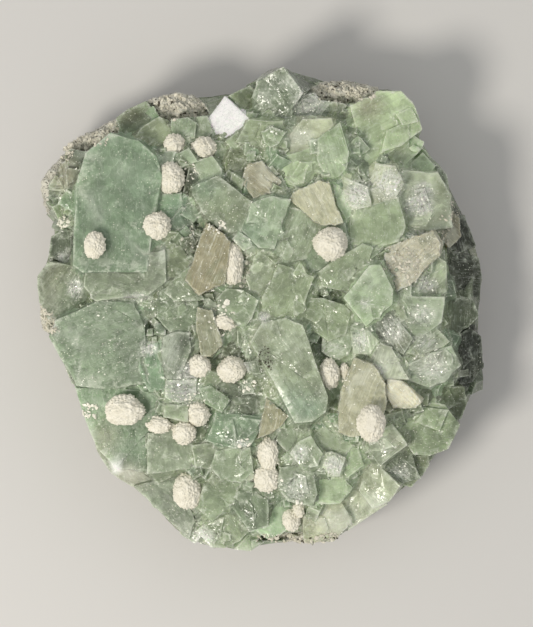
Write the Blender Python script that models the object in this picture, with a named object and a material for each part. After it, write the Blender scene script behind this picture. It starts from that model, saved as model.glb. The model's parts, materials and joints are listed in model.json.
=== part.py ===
"""Green apophyllite cluster on its matrix, lying with the crystals up.

The matrix slab carries one intergrown cluster of blocky crystals. Pale
blades and chalky round spherules sit in sockets in the cluster. Outline
tables are in drawing units (UNIT millimetres each) with y running down;
x runs right and y runs up in the model, z is height, z = 0 is the flat
underside.
"""
import math

import bmesh
import bpy
import numpy as np
from mathutils import Vector
from mathutils.bvhtree import BVHTree

# ---------------------------------------------------------------------------
# Driving dimensions (millimetres unless a name says otherwise)
# ---------------------------------------------------------------------------
UNIT = 1.0 / 3.15          # mm for one drawing unit of the outline tables
CX, CY = 261.0, 307.0      # drawing point that becomes x = 0, y = 0 before centring
CROWN = 45.0               # height of the crystal tops over the middle of the plate
SEAT = 12.0                # mean height of the matrix surface the crystals grew on
GAP = 0.33                 # clearance between touching pieces

# Outline of the specimen seen from the crystal side (drawing units, clockwise)
OUTLINE = [
    (43, 182), (50, 177), (54, 168), (60, 163), (63, 150), (69, 145), (82, 137),
    (98, 131), (104, 132), (110, 127), (116, 118), (125, 110), (137, 102),
    (147, 99), (163, 97), (178, 94), (197, 99), (208, 109), (214, 109),
    (225, 97), (232, 93), (241, 89), (248, 79), (257, 73), (270, 67), (283, 62),
    (296, 75), (305, 87), (322, 84), (345, 83), (360, 85), (375, 90), (398, 88),
    (405, 96), (416, 109), (421, 116), (424, 142), (427, 151), (437, 161),
    (448, 172), (452, 190), (457, 207), (466, 213), (477, 245), (480, 257),
    (483, 280), (482, 303), (478, 318), (483, 350), (485, 366), (480, 379),
    (473, 396), (466, 415), (460, 426), (452, 433), (448, 447), (436, 454),
    (430, 466), (421, 478), (410, 487), (400, 486), (389, 503), (367, 518),
    (347, 533), (332, 543), (311, 546), (284, 544), (277, 540), (264, 544),
    (254, 542), (250, 552), (233, 552), (212, 550), (197, 546), (180, 535),
    (164, 520), (147, 501), (133, 487), (112, 474), (103, 459), (94, 447),
    (90, 431), (86, 410), (84, 395), (74, 386), (60, 359), (50, 335),
    (42, 328), (37, 303), (39, 285), (37, 274), (48, 258), (51, 235),
    (60, 228), (60, 215), (50, 211), (44, 195),
]

# Blocky crystals: name, outline of the front face, rise over the dome,
# lean of the face (x, y), depth, tone
# tones: 0 sage green, 1 blue green, 2 yellow green, 3 grey green, 4 clear,
#        5 dark olive, 6 milky, 7 mirror face
CRYSTALS = [
    ("left_slab", [(112, 135), (140, 142), (158, 158), (164, 178), (160, 215), (152, 240), (148, 272), (120, 270), (85, 272), (75, 265), (75, 205), (78, 187), (86, 170), (88, 155)], 3.0, -0.08, 0.05, 22, 1),
    ("left_slab_knee", [(88, 266), (120, 262), (148, 262), (166, 250), (168, 282), (150, 297), (125, 301), (98, 301), (86, 286)], 2.2, -0.10, -0.06, 18, 3),
    ("left_rim_block", [(48, 262), (75, 266), (90, 274), (92, 292), (72, 318), (50, 320), (40, 302), (38, 278)], 1.0, -0.20, 0.02, 18, 0),
    ("left_low", [(58, 320), (100, 300), (136, 303), (146, 325), (142, 345), (150, 382), (118, 388), (104, 384), (78, 386), (60, 359), (51, 336)], 2.4, -0.10, -0.06, 22, 1),
    ("left_low_tab", [(64, 366), (78, 364), (104, 367), (107, 382), (80, 387), (72, 384)], 2.6, -0.26, -0.22, 12, 4),
    ("left_foot", [(76, 388), (104, 386), (120, 391), (150, 391), (164, 400), (163, 416), (150, 434), (152, 470), (118, 468), (98, 446), (92, 420)], 1.8, -0.10, -0.08, 20, 1),
    ("left_foot_right", [(150, 432), (172, 428), (196, 446), (192, 468), (170, 471), (148, 472)], 1.4, 0.04, -0.10, 16, 0),
    ("left_foot_band", [(94, 432), (108, 448), (114, 460), (130, 464), (150, 474), (172, 471), (148, 484), (133, 487), (112, 474), (96, 449)], 0.4, -0.30, -0.28, 14, 6),
    ("bottom_left_flat", [(134, 486), (150, 478), (172, 472), (180, 500), (196, 520), (190, 540), (166, 522), (148, 502)], 0.6, -0.12, -0.20, 16, 3),
    ("left_tab", [(51, 236), (62, 230), (76, 230), (77, 268), (60, 264), (48, 258)], -1.0, -0.20, 0.05, 14, 3),
    ("top_left_box", [(116, 119), (126, 110), (147, 100), (158, 118), (140, 132), (122, 138)], 1.0, -0.10, 0.20, 18, 5),
    ("top_left_facet", [(64, 152), (78, 143), (88, 152), (87, 165), (83, 172), (66, 170)], -1.0, -0.28, 0.20, 14, 3),
    ("top_left_facet_low", [(66, 168), (84, 170), (82, 188), (72, 202), (66, 192)], -1.0, -0.28, 0.05, 14, 3),
    ("shoulder_block", [(140, 130), (160, 117), (173, 130), (165, 150), (150, 150), (136, 140)], 0.4, 0.08, 0.16, 14, 0),
    ("block_a", [(172, 121), (186, 117), (197, 124), (196, 140), (182, 142), (172, 134)], 1.0, -0.10, 0.10, 14, 0),
    ("block_b", [(197, 118), (208, 117), (213, 134), (206, 141), (196, 138)], 0.4, 0.08, 0.10, 14, 0),
    ("block_c", [(213, 141), (231, 147), (231, 162), (215, 159)], -0.6, 0.10, 0.0, 12, 0),
    ("block_d", [(192, 164), (213, 158), (222, 170), (223, 178), (203, 183)], 0.0, -0.04, 0.05, 12, 0),
    ("mirror_rhomb", [(225, 97), (250, 120), (233, 147), (206, 122)], 2.6, -0.26, 0.10, 18, 7),
    ("crown_block", [(256, 83), (282, 69), (302, 95), (285, 118), (265, 114), (252, 98)], 4.0, -0.16, -0.20, 20, 3),
    ("olive_back", [(230, 97), (250, 86), (262, 100), (265, 115), (248, 120)], 0.0, 0.22, 0.20, 16, 5),
    ("right_of_mirror", [(249, 121), (283, 122), (286, 133), (262, 151), (236, 144)], 0.8, 0.05, 0.02, 14, 0),
    ("small_truncated", [(261, 135), (272, 128), (286, 134), (278, 146), (270, 150), (264, 145)], 2.4, -0.10, -0.10, 9, 0),
    ("striated_top", [(285, 117), (302, 96), (322, 90), (330, 104), (316, 120), (298, 125)], 1.4, -0.02, 0.16, 16, 4),
    ("milky_top", [(290, 134), (298, 124), (315, 119), (330, 120), (333, 127), (317, 138), (314, 148), (286, 156), (282, 146)], 1.6, -0.06, 0.05, 14, 6),
    ("milky_yellow", [(317, 139), (339, 125), (348, 155), (346, 170), (340, 178), (327, 183), (316, 160)], 1.2, -0.05, 0.04, 14, 2),
    ("top_right_block", [(350, 107), (376, 93), (400, 92), (412, 103), (421, 130), (410, 134), (395, 150), (375, 165), (358, 148), (351, 125)], 3.0, 0.06, 0.06, 22, 2),
    ("clear_a", [(409, 134), (424, 142), (421, 149), (405, 166), (400, 170), (387, 161), (394, 150)], 1.0, 0.16, 0.00, 14, 0),
    ("olive_b", [(404, 168), (422, 152), (436, 166), (431, 173), (419, 174)], 0.0, 0.26, 0.14, 14, 3),
    ("right_ridge", [(436, 163), (448, 174), (451, 190), (441, 188)], 1.0, 0.36, 0.14, 14, 4),
    ("between_top", [(286, 156), (314, 147), (318, 160), (318, 180), (300, 190), (285, 184), (280, 168)], -0.6, 0.04, 0.04, 12, 0),
    ("spark_a", [(344, 178), (366, 188), (370, 208), (350, 212), (341, 194)], 1.0, -0.16, 0.00, 12, 6),
    ("spark_b", [(374, 164), (395, 167), (403, 185), (395, 200), (370, 210), (364, 190)], 1.6, -0.05, 0.05, 16, 6),
    ("spark_c", [(402, 171), (437, 173), (450, 196), (452, 228), (428, 232), (402, 226), (396, 200)], 2.2, 0.10, 0.00, 20, 4),
    ("mid_right_green", [(348, 213), (372, 210), (398, 198), (404, 228), (398, 243), (372, 249), (350, 245)], 0.6, 0.02, 0.05, 16, 0),
    ("behind_ball", [(298, 226), (345, 224), (353, 258), (334, 272), (308, 274), (294, 262)], 0.4, 0.02, 0.00, 14, 0),
    ("mid_right_low", [(340, 262), (361, 244), (372, 248), (368, 265), (348, 294), (324, 287), (316, 273)], 1.4, 0.00, -0.02, 15, 0),
    ("block_e", [(192, 188), (218, 177), (231, 190), (253, 203), (241, 233), (225, 234), (207, 220), (193, 196)], 2.0, -0.08, 0.00, 18, 0),
    ("block_f", [(252, 204), (272, 197), (291, 201), (283, 234), (274, 251), (258, 249), (241, 231)], 2.6, -0.08, 0.00, 18, 0),
    ("strip_f", [(290, 206), (305, 213), (321, 227), (306, 260), (286, 265), (277, 250), (284, 234)], 0.8, 0.06, 0.00, 14, 0),
    ("clear_g", [(231, 240), (239, 232), (250, 240), (253, 248), (243, 252)], 2.4, -0.10, 0.00, 9, 4),
    ("grey_h", [(258, 252), (270, 254), (278, 265), (276, 285), (264, 295), (250, 292), (245, 278)], 0.6, 0.04, 0.00, 14, 3),
    ("green_i", [(278, 265), (294, 269), (313, 277), (307, 298), (302, 311), (290, 323), (275, 322), (263, 310), (262, 298), (269, 291)], 2.4, -0.05, -0.05, 18, 0),
    ("yellow_j", [(226, 289), (244, 291), (259, 301), (252, 319), (243, 329), (221, 315), (216, 300)], 2.2, -0.10, 0.00, 16, 2),
    ("block_k", [(311, 298), (322, 298), (344, 306), (350, 312), (346, 334), (328, 341), (298, 322), (305, 305)], 0.6, 0.00, 0.00, 14, 0),
    ("block_k_low", [(322, 338), (346, 328), (354, 338), (348, 354), (334, 360), (320, 352)], 0.2, 0.02, -0.04, 14, 0),
    ("truncated", [(368, 266), (379, 265), (387, 277), (392, 291), (391, 306), (364, 326), (350, 310), (342, 298), (349, 293)], 4.0, -0.05, -0.05, 18, 0),
    ("clear_l", [(405, 290), (438, 257), (446, 262), (446, 292), (438, 297), (410, 297)], 0.6, 0.10, -0.05, 14, 4),
    ("clear_m", [(404, 296), (443, 297), (439, 322), (428, 329), (414, 342), (397, 322)], 1.8, 0.02, -0.08, 16, 4),
    ("fan_n", [(372, 322), (384, 312), (396, 318), (412, 338), (402, 354), (388, 346)], 0.8, -0.05, 0.05, 14, 4),
    ("block_o", [(404, 352), (433, 326), (447, 341), (440, 347), (417, 355)], 1.8, 0.06, 0.18, 14, 4),
    ("light_p", [(379, 341), (390, 346), (398, 361), (407, 378), (384, 380), (371, 363)], 2.2, -0.10, 0.00, 14, 6),
    ("gold_q", [(350, 334), (366, 328), (378, 340), (370, 353), (352, 353)], 1.4, -0.06, 0.04, 12, 6),
    ("clear_r", [(417, 355), (448, 345), (458, 366), (443, 381), (428, 387), (407, 380), (400, 365)], 4.0, -0.04, -0.06, 20, 4),
    ("dark_s", [(412, 390), (430, 386), (464, 386), (468, 401), (461, 419), (448, 416), (437, 403)], 0.4, 0.28, -0.10, 16, 5),
    ("flat_t", [(388, 410), (417, 406), (435, 402), (444, 405), (459, 424), (451, 436), (447, 449), (429, 455), (413, 454), (405, 442), (391, 422)], 3.4, 0.05, -0.08, 20, 0),
    ("light_u", [(391, 422), (405, 443), (379, 465), (363, 446), (372, 432)], 2.0, -0.12, -0.08, 14, 4),
    ("striated_v", [(388, 442), (408, 444), (414, 456), (421, 478), (400, 484), (378, 466)], 0.4, 0.14, -0.16, 14, 3),
    ("speckled_w", [(400, 456), (428, 455), (430, 465), (421, 478), (410, 487), (400, 486), (390, 472)], 0.8, 0.18, -0.26, 14, 5),
    ("light_x", [(364, 466), (378, 465), (400, 485), (389, 501), (372, 508), (359, 490)], 3.6, -0.10, -0.10, 15, 6),
    ("rim_a", [(441, 232), (452, 214), (466, 214), (470, 224), (477, 246), (462, 252), (445, 250)], 0.0, 0.50, 0.10, 16, 5),
    ("rim_b", [(445, 252), (462, 252), (480, 258), (483, 280), (479, 297), (455, 296), (445, 275)], 0.0, 0.55, 0.00, 16, 5),
    ("rim_c", [(445, 300), (458, 296), (472, 299), (479, 316), (468, 328), (450, 338), (443, 322)], 2.4, 0.40, -0.05, 15, 5),
    ("rim_d", [(448, 342), (470, 328), (482, 336), (485, 366), (474, 382), (456, 386), (458, 366)], 0.0, 0.50, -0.16, 16, 5),
    ("prism", [(251, 341), (262, 321), (285, 318), (302, 325), (309, 343), (318, 375), (327, 396), (325, 410), (312, 419), (295, 421), (283, 405), (262, 371)], 4.8, -0.04, 0.03, 20, 0),
    ("hex_clear", [(243, 362), (257, 359), (262, 374), (249, 373)], 1.0, -0.05, 0.00, 9, 3),
    ("between_prism", [(212, 384), (222, 380), (248, 388), (264, 392), (262, 412), (250, 416), (226, 412), (230, 399)], -0.6, 0.02, 0.02, 12, 3),
    ("block_y", [(216, 412), (262, 415), (259, 429), (251, 443), (236, 448), (206, 440), (210, 424)], 1.0, -0.05, 0.00, 14, 1),
    ("block_z", [(211, 466), (216, 448), (250, 446), (254, 470), (241, 481), (221, 479)], 1.0, 0.00, -0.05, 14, 0),
    ("grey_za", [(192, 444), (216, 440), (217, 458), (210, 466), (196, 466)], 0.6, 0.06, -0.02, 12, 3),
    ("low_a", [(204, 482), (240, 478), (234, 500), (213, 520), (198, 506)], -0.2, 0.02, -0.06, 13, 0),
    ("low_b", [(240, 480), (256, 492), (268, 498), (269, 524), (250, 530), (229, 503)], 0.0, 0.02, -0.10, 14, 0),
    ("plate_bottom", [(197, 530), (212, 519), (229, 503), (251, 528), (241, 540), (225, 548), (211, 547)], 2.6, -0.05, -0.20, 13, 4),
    ("plate_bottom_b", [(241, 541), (251, 530), (266, 530), (264, 543), (250, 552), (233, 551)], 0.0, 0.00, -0.24, 12, 4),
    ("yellow_aa", [(200, 388), (211, 385), (231, 399), (222, 412), (206, 402)], 1.6, 0.02, 0.04, 10, 2),
    ("spark_ab", [(177, 364), (196, 362), (198, 378), (178, 379)], 1.4, -0.08, 0.00, 9, 4),
    ("spark_ac", [(167, 379), (198, 378), (197, 396), (178, 403), (166, 396)], 2.0, -0.08, 0.00, 11, 4),
    ("smooth_ad", [(165, 402), (190, 403), (189, 421), (165, 416)], 2.2, 0.00, -0.04, 11, 3),
    ("milky_column", [(164, 336), (176, 330), (190, 332), (192, 350), (182, 378), (168, 378), (163, 356)], 1.6, -0.06, 0.00, 14, 3),
    ("column_ae", [(160, 292), (172, 286), (198, 300), (200, 322), (190, 334), (170, 331), (158, 318)], 0.4, 0.04, 0.00, 13, 0),
    ("square_ag", [(142, 346), (160, 340), (166, 388), (150, 391), (140, 370)], 0.8, 0.06, 0.00, 14, 1),
    ("column_af", [(182, 332), (198, 330), (200, 352), (194, 360), (182, 356)], -0.4, 0.08, 0.00, 12, 3),
    ("cube_ah", [(290, 452), (298, 440), (310, 434), (322, 452), (317, 464), (303, 468)], 2.6, -0.10, 0.00, 11, 0),
    ("bright_ai", [(323, 451), (330, 449), (344, 456), (339, 474), (326, 474)], 2.4, -0.12, 0.02, 9, 6),
    ("spark_aj", [(279, 466), (297, 464), (313, 475), (316, 491), (311, 504), (288, 498), (277, 484)], 2.0, -0.04, -0.04, 14, 0),
    ("grey_ak", [(318, 474), (340, 474), (353, 486), (340, 502), (316, 502), (312, 490)], 0.6, 0.00, -0.06, 13, 0),
    ("grey_al", [(339, 442), (358, 447), (364, 464), (346, 476), (336, 462)], 0.8, 0.02, 0.00, 12, 0),
    ("grey_am", [(324, 424), (336, 431), (353, 444), (341, 456), (322, 450), (312, 436)], 0.0, 0.04, 0.02, 12, 3),
    ("low_c", [(306, 506), (342, 503), (352, 521), (334, 541), (304, 542), (302, 522)], 0.4, 0.00, -0.22, 14, 6),
    ("low_d", [(342, 502), (362, 490), (388, 504), (367, 518), (348, 531)], 1.6, -0.04, -0.22, 14, 6),
    ("low_e", [(258, 500), (284, 498), (288, 528), (272, 540), (256, 530)], 0.0, 0.00, -0.16, 13, 0),
    ("low_f", [(180, 512), (198, 508), (213, 520), (196, 532), (196, 545), (180, 534)], 0.2, -0.05, -0.20, 13, 3),
]

# Pale blades and crusted crystals: name, outline, rise, lean x, lean y, depth
BLADES = [
    ("tan_blade", [(207, 223), (224, 234), (231, 243), (223, 261), (227, 280), (224, 285), (200, 295), (186, 281), (198, 252), (203, 233)], 3.6, -0.06, 0.02, 16),
    ("tan_wedge", [(266, 397), (277, 404), (289, 415), (281, 424), (271, 433), (258, 438), (262, 416)], 1.4, 0.00, 0.00, 12),
    ("striated_blade", [(341, 386), (353, 356), (372, 362), (384, 382), (386, 400), (380, 425), (372, 434), (348, 436), (337, 430), (337, 402)], 4.2, -0.06, -0.04, 15),
    ("cream_blade", [(385, 378), (400, 380), (421, 400), (414, 406), (392, 407), (385, 395)], 4.2, -0.10, -0.06, 11),
    ("beige_column", [(198, 308), (213, 310), (221, 332), (224, 344), (212, 356), (201, 355), (197, 330)], 2.2, -0.04, 0.00, 13),
    ("beige_block", [(300, 190), (318, 181), (328, 183), (331, 203), (342, 224), (333, 227), (320, 227), (311, 222), (300, 210), (290, 201), (293, 193)], 3.0, -0.06, 0.02, 13),
    ("brown_block", [(248, 165), (261, 162), (282, 182), (272, 195), (255, 200), (240, 182)], 1.4, 0.04, 0.06, 13),
    ("white_crusted", [(383, 248), (401, 244), (432, 230), (440, 244), (438, 257), (405, 288), (395, 292), (387, 275), (382, 258)], 1.8, -0.08, 0.04, 14),
    ("beige_knob", [(434, 206), (446, 205), (460, 218), (462, 236), (450, 248), (440, 240), (436, 222)], 1.4, 0.34, 0.08, 13),
]

# Cauliflower spherules: name, centre x, y, half width, half height, rise
BALLS = [
    ("spherule_01", 175, 147, 11, 11, 2.4), ("spherule_02", 204, 150, 12, 12, 1.8),
    ("spherule_03", 172, 180, 14, 16, 2.6), ("spherule_04", 158, 227, 13.5, 14, 2.2),
    ("spherule_05", 97, 246, 10.5, 13.5, 1.8), ("spherule_06", 330, 245, 17, 16, 1.4),
    ("spherule_07", 233, 265, 10, 21, 1.8), ("spherule_08", 126, 409, 20, 15, 1.8),
    ("spherule_09", 185, 432, 12, 12, 1.8), ("spherule_10", 199, 413, 11.5, 12, 1.8),
    ("spherule_11", 201, 366, 11, 11.5, 1.6), ("spherule_12", 232, 369, 14, 13, 1.4),
    ("spherule_13", 328, 374, 11.5, 15, 2.2), ("spherule_14", 344, 371, 4.5, 8, 0.7),
    ("spherule_15", 369, 421, 14, 18, 3.8), ("spherule_16", 187.5, 490, 15, 19, 1.8),
    ("spherule_17", 291, 519, 9, 12, 1.2), ("spherule_18", 299, 507, 6, 9, 1.2),
    ("spherule_19", 161, 424, 12, 8, 1.2), ("spherule_20", 226, 322, 12, 8, 0.6),
]
TWIN = ("spherule_twin", (268, 452, 11, 16), (267, 476, 13, 15), 1.8)

# Granular crust lumps that belong to the matrix and stand up at the rim:
# outline, height of the top
LUMPS = [
    ([(43, 182), (54, 168), (63, 156), (70, 168), (70, 196), (62, 214), (50, 211), (44, 195)], 27.0),
    ([(60, 215), (71, 206), (76, 224), (62, 228)], 24.0),
    ([(64, 148), (82, 137), (98, 131), (116, 119), (120, 137), (112, 134), (88, 152), (78, 143)], 24.0),
    ([(150, 101), (163, 97), (178, 94), (197, 99), (208, 109), (210, 115), (184, 119), (172, 122), (160, 118)], 30.0),
    ([(311, 90), (322, 84), (345, 83), (376, 90), (374, 99), (345, 104), (320, 101)], 30.0),
    ([(255, 542), (262, 533), (284, 536), (300, 540), (330, 532), (345, 532), (332, 543), (311, 546), (284, 544)], 17.0),
    ([(38, 302), (50, 312), (62, 332), (50, 335), (42, 328)], 20.0),
]


# ---------------------------------------------------------------------------
# Shape helpers shared by all pieces
# ---------------------------------------------------------------------------
def outline_radius():
    """Table of the outline's distance from the middle against direction."""
    pts = [((x - CX) * UNIT, (CY - y) * UNIT) for x, y in OUTLINE]
    steps = 720
    table = []
    for i in range(steps):
        a = 2 * math.pi * i / steps
        dx, dy = math.cos(a), math.sin(a)
        best = 0.0
        for j in range(len(pts)):
            x1, y1 = pts[j]
            x2, y2 = pts[(j + 1) % len(pts)]
            ex, ey = x2 - x1, y2 - y1
            den = dx * ey - dy * ex
            if abs(den) < 1e-9:
                continue
            t = (x1 * ey - y1 * ex) / den
            u = (x1 * dy - y1 * dx) / den
            if t > 0 and -1e-6 <= u <= 1 + 1e-6:
                best = max(best, t)
        table.append(best)
    return table


RADII = outline_radius()


def edge_radius(x, y):
    a = math.atan2(y, x) % (2 * math.pi)
    f = a / (2 * math.pi) * len(RADII)
    i = int(f) % len(RADII)
    j = (i + 1) % len(RADII)
    return RADII[i] * (1 - f % 1) + RADII[j] * (f % 1)


def dome(x, y):
    """Height of the crystal tops over the plate, falling off at the rim."""
    r = math.hypot(x, y) / max(edge_radius(x, y), 1.0)
    fall = max(0.0, (r - 0.68) / 0.32)
    right = max(0.0, (x - 52.0) / 16.0)
    return CROWN - 4.5 * r * r - 14.0 * fall ** 1.7 - 7.0 * right ** 1.6


def hash01(*key):
    """Repeatable pseudo-random number from a few integers."""
    v = 0.0
    for i, k in enumerate(key):
        v += (k + 1.37) * (12.9898 + 7.233 * i)
    v = math.sin(v) * 43758.5453
    return v - math.floor(v)


def seat(x, y):
    """Height of the rough matrix surface that carries the crystals."""
    cell = 20.0
    gx, gy = (x + 200.0) / cell, (y + 200.0) / cell
    i, j = int(gx), int(gy)
    u, v = gx - i, gy - j
    h00, h10 = hash01(i, j), hash01(i + 1, j)
    h01, h11 = hash01(i, j + 1), hash01(i + 1, j + 1)
    h = (h00 * (1 - u) + h10 * u) * (1 - v) + (h01 * (1 - u) + h11 * u) * v
    return SEAT + 3.0 * (h - 0.5)


def world(p):
    return (p[0] - CX) * UNIT, (CY - p[1]) * UNIT


def plain_outline(outline, flat=150.0):
    """The outline without corners that hardly turn."""
    pts = list(outline)
    changed = True
    while changed and len(pts) > 4:
        changed = False
        for i in range(len(pts)):
            a, b, c = pts[i - 1], pts[i], pts[(i + 1) % len(pts)]
            ang = math.degrees(abs(math.atan2(a[1] - b[1], a[0] - b[0])
                                   - math.atan2(c[1] - b[1], c[0] - b[0])))
            ang = min(ang, 360.0 - ang)
            if ang > flat:
                pts.pop(i)
                changed = True
                break
    return pts


def prism_points(outline, rise, lean_x, lean_y, depth, flare=1.15, floor=3.0):
    """Face points on a tilted plane, and the same outline pushed back along
    the plane's normal."""
    pts = [world(p) for p in outline]
    cx = sum(p[0] for p in pts) / len(pts)
    cy = sum(p[1] for p in pts) / len(pts)
    top = dome(cx, cy) + rise
    n = Vector((lean_x, lean_y, 1.0)).normalized()
    face, back = [], []
    for x, y in pts:
        z = top - (lean_x * (x - cx) + lean_y * (y - cy))
        face.append(Vector((x, y, z)))
    mid = sum(face, Vector()) / len(face)
    for f in face:
        b = mid + (f - mid) * flare - n * depth
        r, e = math.hypot(b.x, b.y), edge_radius(b.x, b.y)
        if r > e:
            b.x *= e / r
            b.y *= e / r
        b.z = max(b.z, floor)
        back.append(b)
    return face, back


# ---------------------------------------------------------------------------
# Mesh helpers
# ---------------------------------------------------------------------------
MM = 0.001


def hull_object(name, points):
    """Closed convex solid through the given points (millimetres)."""
    bm = bmesh.new()
    for p in points:
        bm.verts.new((p[0] * MM, p[1] * MM, p[2] * MM))
    bmesh.ops.remove_doubles(bm, verts=bm.verts, dist=0.00005)
    res = bmesh.ops.convex_hull(bm, input=list(bm.verts))
    drop = [g for g in res["geom_interior"] if isinstance(g, bmesh.types.BMVert)]
    drop += [g for g in res["geom_unused"] if isinstance(g, bmesh.types.BMVert)]
    bmesh.ops.delete(bm, geom=list(set(drop)), context="VERTS")
    bmesh.ops.dissolve_limit(bm, angle_limit=math.radians(0.5),
                             verts=bm.verts, edges=bm.edges)
    bmesh.ops.recalc_face_normals(bm, faces=bm.faces)
    return to_object(name, bm)


def to_object(name, bm):
    mesh = bpy.data.meshes.new(name)
    bm.to_mesh(mesh)
    bm.free()
    obj = bpy.data.objects.new(name, mesh)
    bpy.context.scene.collection.objects.link(obj)
    return obj


def grown(obj, name, by):
    """Copy of a convex solid with every face moved outward by a clearance."""
    bm = bmesh.new()
    bm.from_mesh(obj.data)
    bm.normal_update()
    moved = {}
    for v in bm.verts:
        normals = []
        for f in v.link_faces:
            if all(f.normal.dot(n) < 0.9995 for n in normals):
                normals.append(f.normal.copy())
        a = np.array([list(n) for n in normals])
        b = np.full(len(normals), by * MM)
        d = np.linalg.lstsq(a, b, rcond=None)[0]
        length = float(np.linalg.norm(d))
        if length > 4 * by * MM:
            d *= 4 * by * MM / length
        moved[v.index] = v.co + Vector(d)
    for v in bm.verts:
        v.co = moved[v.index]
    return to_object(name, bm)


def boolean(obj, others, operation, solver="EXACT"):
    """Apply one Boolean with a list of operands, and drop the operands."""
    group = bpy.data.collections.new("operands")
    for o in others:
        group.objects.link(o)
    mod = obj.modifiers.new("cut", "BOOLEAN")
    mod.operation = operation
    mod.solver = solver
    mod.operand_type = "COLLECTION"
    mod.collection = group
    apply(obj)
    bpy.data.collections.remove(group)


def apply(obj):
    bpy.context.view_layer.update()
    graph = bpy.context.evaluated_depsgraph_get()
    mesh = bpy.data.meshes.new_from_object(obj.evaluated_get(graph))
    obj.modifiers.clear()
    old = obj.data
    obj.data = mesh
    bpy.data.meshes.remove(old)


def drop(objects):
    for o in objects:
        mesh = o.data
        bpy.data.objects.remove(o)
        if mesh is not None and mesh.users == 0:
            bpy.data.meshes.remove(mesh)


def copy_of(obj, name):
    new = bpy.data.objects.new(name, obj.data.copy())
    bpy.context.scene.collection.objects.link(new)
    return new


def islands(bm):
    seen, groups = set(), []
    for start in bm.verts:
        if start.index in seen:
            continue
        stack, verts = [start], []
        seen.add(start.index)
        while stack:
            v = stack.pop()
            verts.append(v)
            for e in v.link_edges:
                o = e.other_vert(v)
                if o.index not in seen:
                    seen.add(o.index)
                    stack.append(o)
        groups.append(verts)
    return groups


def group_volume(verts):
    faces = {f for v in verts for f in v.link_faces}
    total = 0.0
    for f in faces:
        vs = f.verts
        for i in range(1, len(vs) - 1):
            total += vs[0].co.dot(vs[i].co.cross(vs[i + 1].co)) / 6.0
    return total


def tidy(obj, weld=0.000001):
    """Merge near points, keep the largest closed body and fill pockets."""
    bm = bmesh.new()
    bm.from_mesh(obj.data)
    bmesh.ops.remove_doubles(bm, verts=bm.verts, dist=weld)
    bmesh.ops.dissolve_degenerate(bm, dist=weld, edges=bm.edges)
    bmesh.ops.dissolve_limit(bm, angle_limit=math.radians(0.5),
                             verts=bm.verts, edges=bm.edges)
    bmesh.ops.triangulate(bm, faces=bm.faces)
    bm.verts.index_update()
    groups = islands(bm)
    volumes = [group_volume(g) for g in groups]
    keep = volumes.index(max(volumes))
    extra = [v for i, g in enumerate(groups) if i != keep for v in g]
    if extra:
        bmesh.ops.delete(bm, geom=extra, context="VERTS")
    bm.to_mesh(obj.data)
    bm.free()


def overlap_box(a, b, margin=0.0006):
    def box(o):
        c = [v.co for v in o.data.vertices]
        return [(min(p[i] for p in c), max(p[i] for p in c)) for i in range(3)]
    ba, bb = box(a), box(b)
    return all(ba[i][0] - margin < bb[i][1] and bb[i][0] - margin < ba[i][1]
               for i in range(3))


def surface_tree(obj):
    verts = [v.co.copy() for v in obj.data.vertices]
    faces = [tuple(p.vertices) for p in obj.data.polygons]
    return BVHTree.FromPolygons(verts, faces)


def resting_height(trees, x, y, rx, ry):
    """Mean height of the surface under a spherule's footprint."""
    heights = []
    for dx, dy in ((0, 0), (0.6, 0), (-0.6, 0), (0, 0.6), (0, -0.6)):
        best = None
        for tree in trees:
            hit = tree.ray_cast(Vector(((x + dx * rx) * MM, (y + dy * ry) * MM, 0.2)),
                                Vector((0, 0, -1)))[0]
            if hit is not None and (best is None or hit.z > best):
                best = hit.z
        heights.append(best / MM if best is not None else dome(x, y))
    middle = heights[0]
    return sum(max(h, middle - 3.0) for h in heights) / len(heights)


def ball_object(name, x, y, rx, ry, rz, zc, seed, grow=0.0):
    """Low faceted ellipsoid with an uneven surface."""
    bm = bmesh.new()
    bmesh.ops.create_icosphere(bm, subdivisions=2 if max(rx, ry) > 3.4 else 1, radius=1.0)
    rmin = min(rx, ry, rz)
    k = (rmin + grow * 1.1) / rmin
    for v in bm.verts:
        d = v.co.copy()
        wave = 1.0 + 0.05 * math.sin(3.1 * d.x + 1.7 * seed) \
            + 0.05 * math.sin(2.7 * d.y - 2.3 * seed) \
            + 0.03 * math.sin(4.3 * d.z + seed)
        v.co = Vector(((x + d.x * rx * wave * k) * MM,
                       (y + d.y * ry * wave * k) * MM,
                       (zc + d.z * rz * wave * k) * MM))
    return to_object(name, bm)


def material(obj, name, colour, rough, metallic=0.0, clear=0.0):
    mat = bpy.data.materials.get(name)
    if mat is None:
        mat = bpy.data.materials.new(name)
        mat.use_nodes = True
        shader = mat.node_tree.nodes["Principled BSDF"]
        shader.inputs["Base Color"].default_value = (*colour, 1.0)
        shader.inputs["Roughness"].default_value = rough
        shader.inputs["Metallic"].default_value = metallic
        shader.inputs["Transmission Weight"].default_value = clear
    obj.data.materials.clear()
    obj.data.materials.append(mat)


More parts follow.
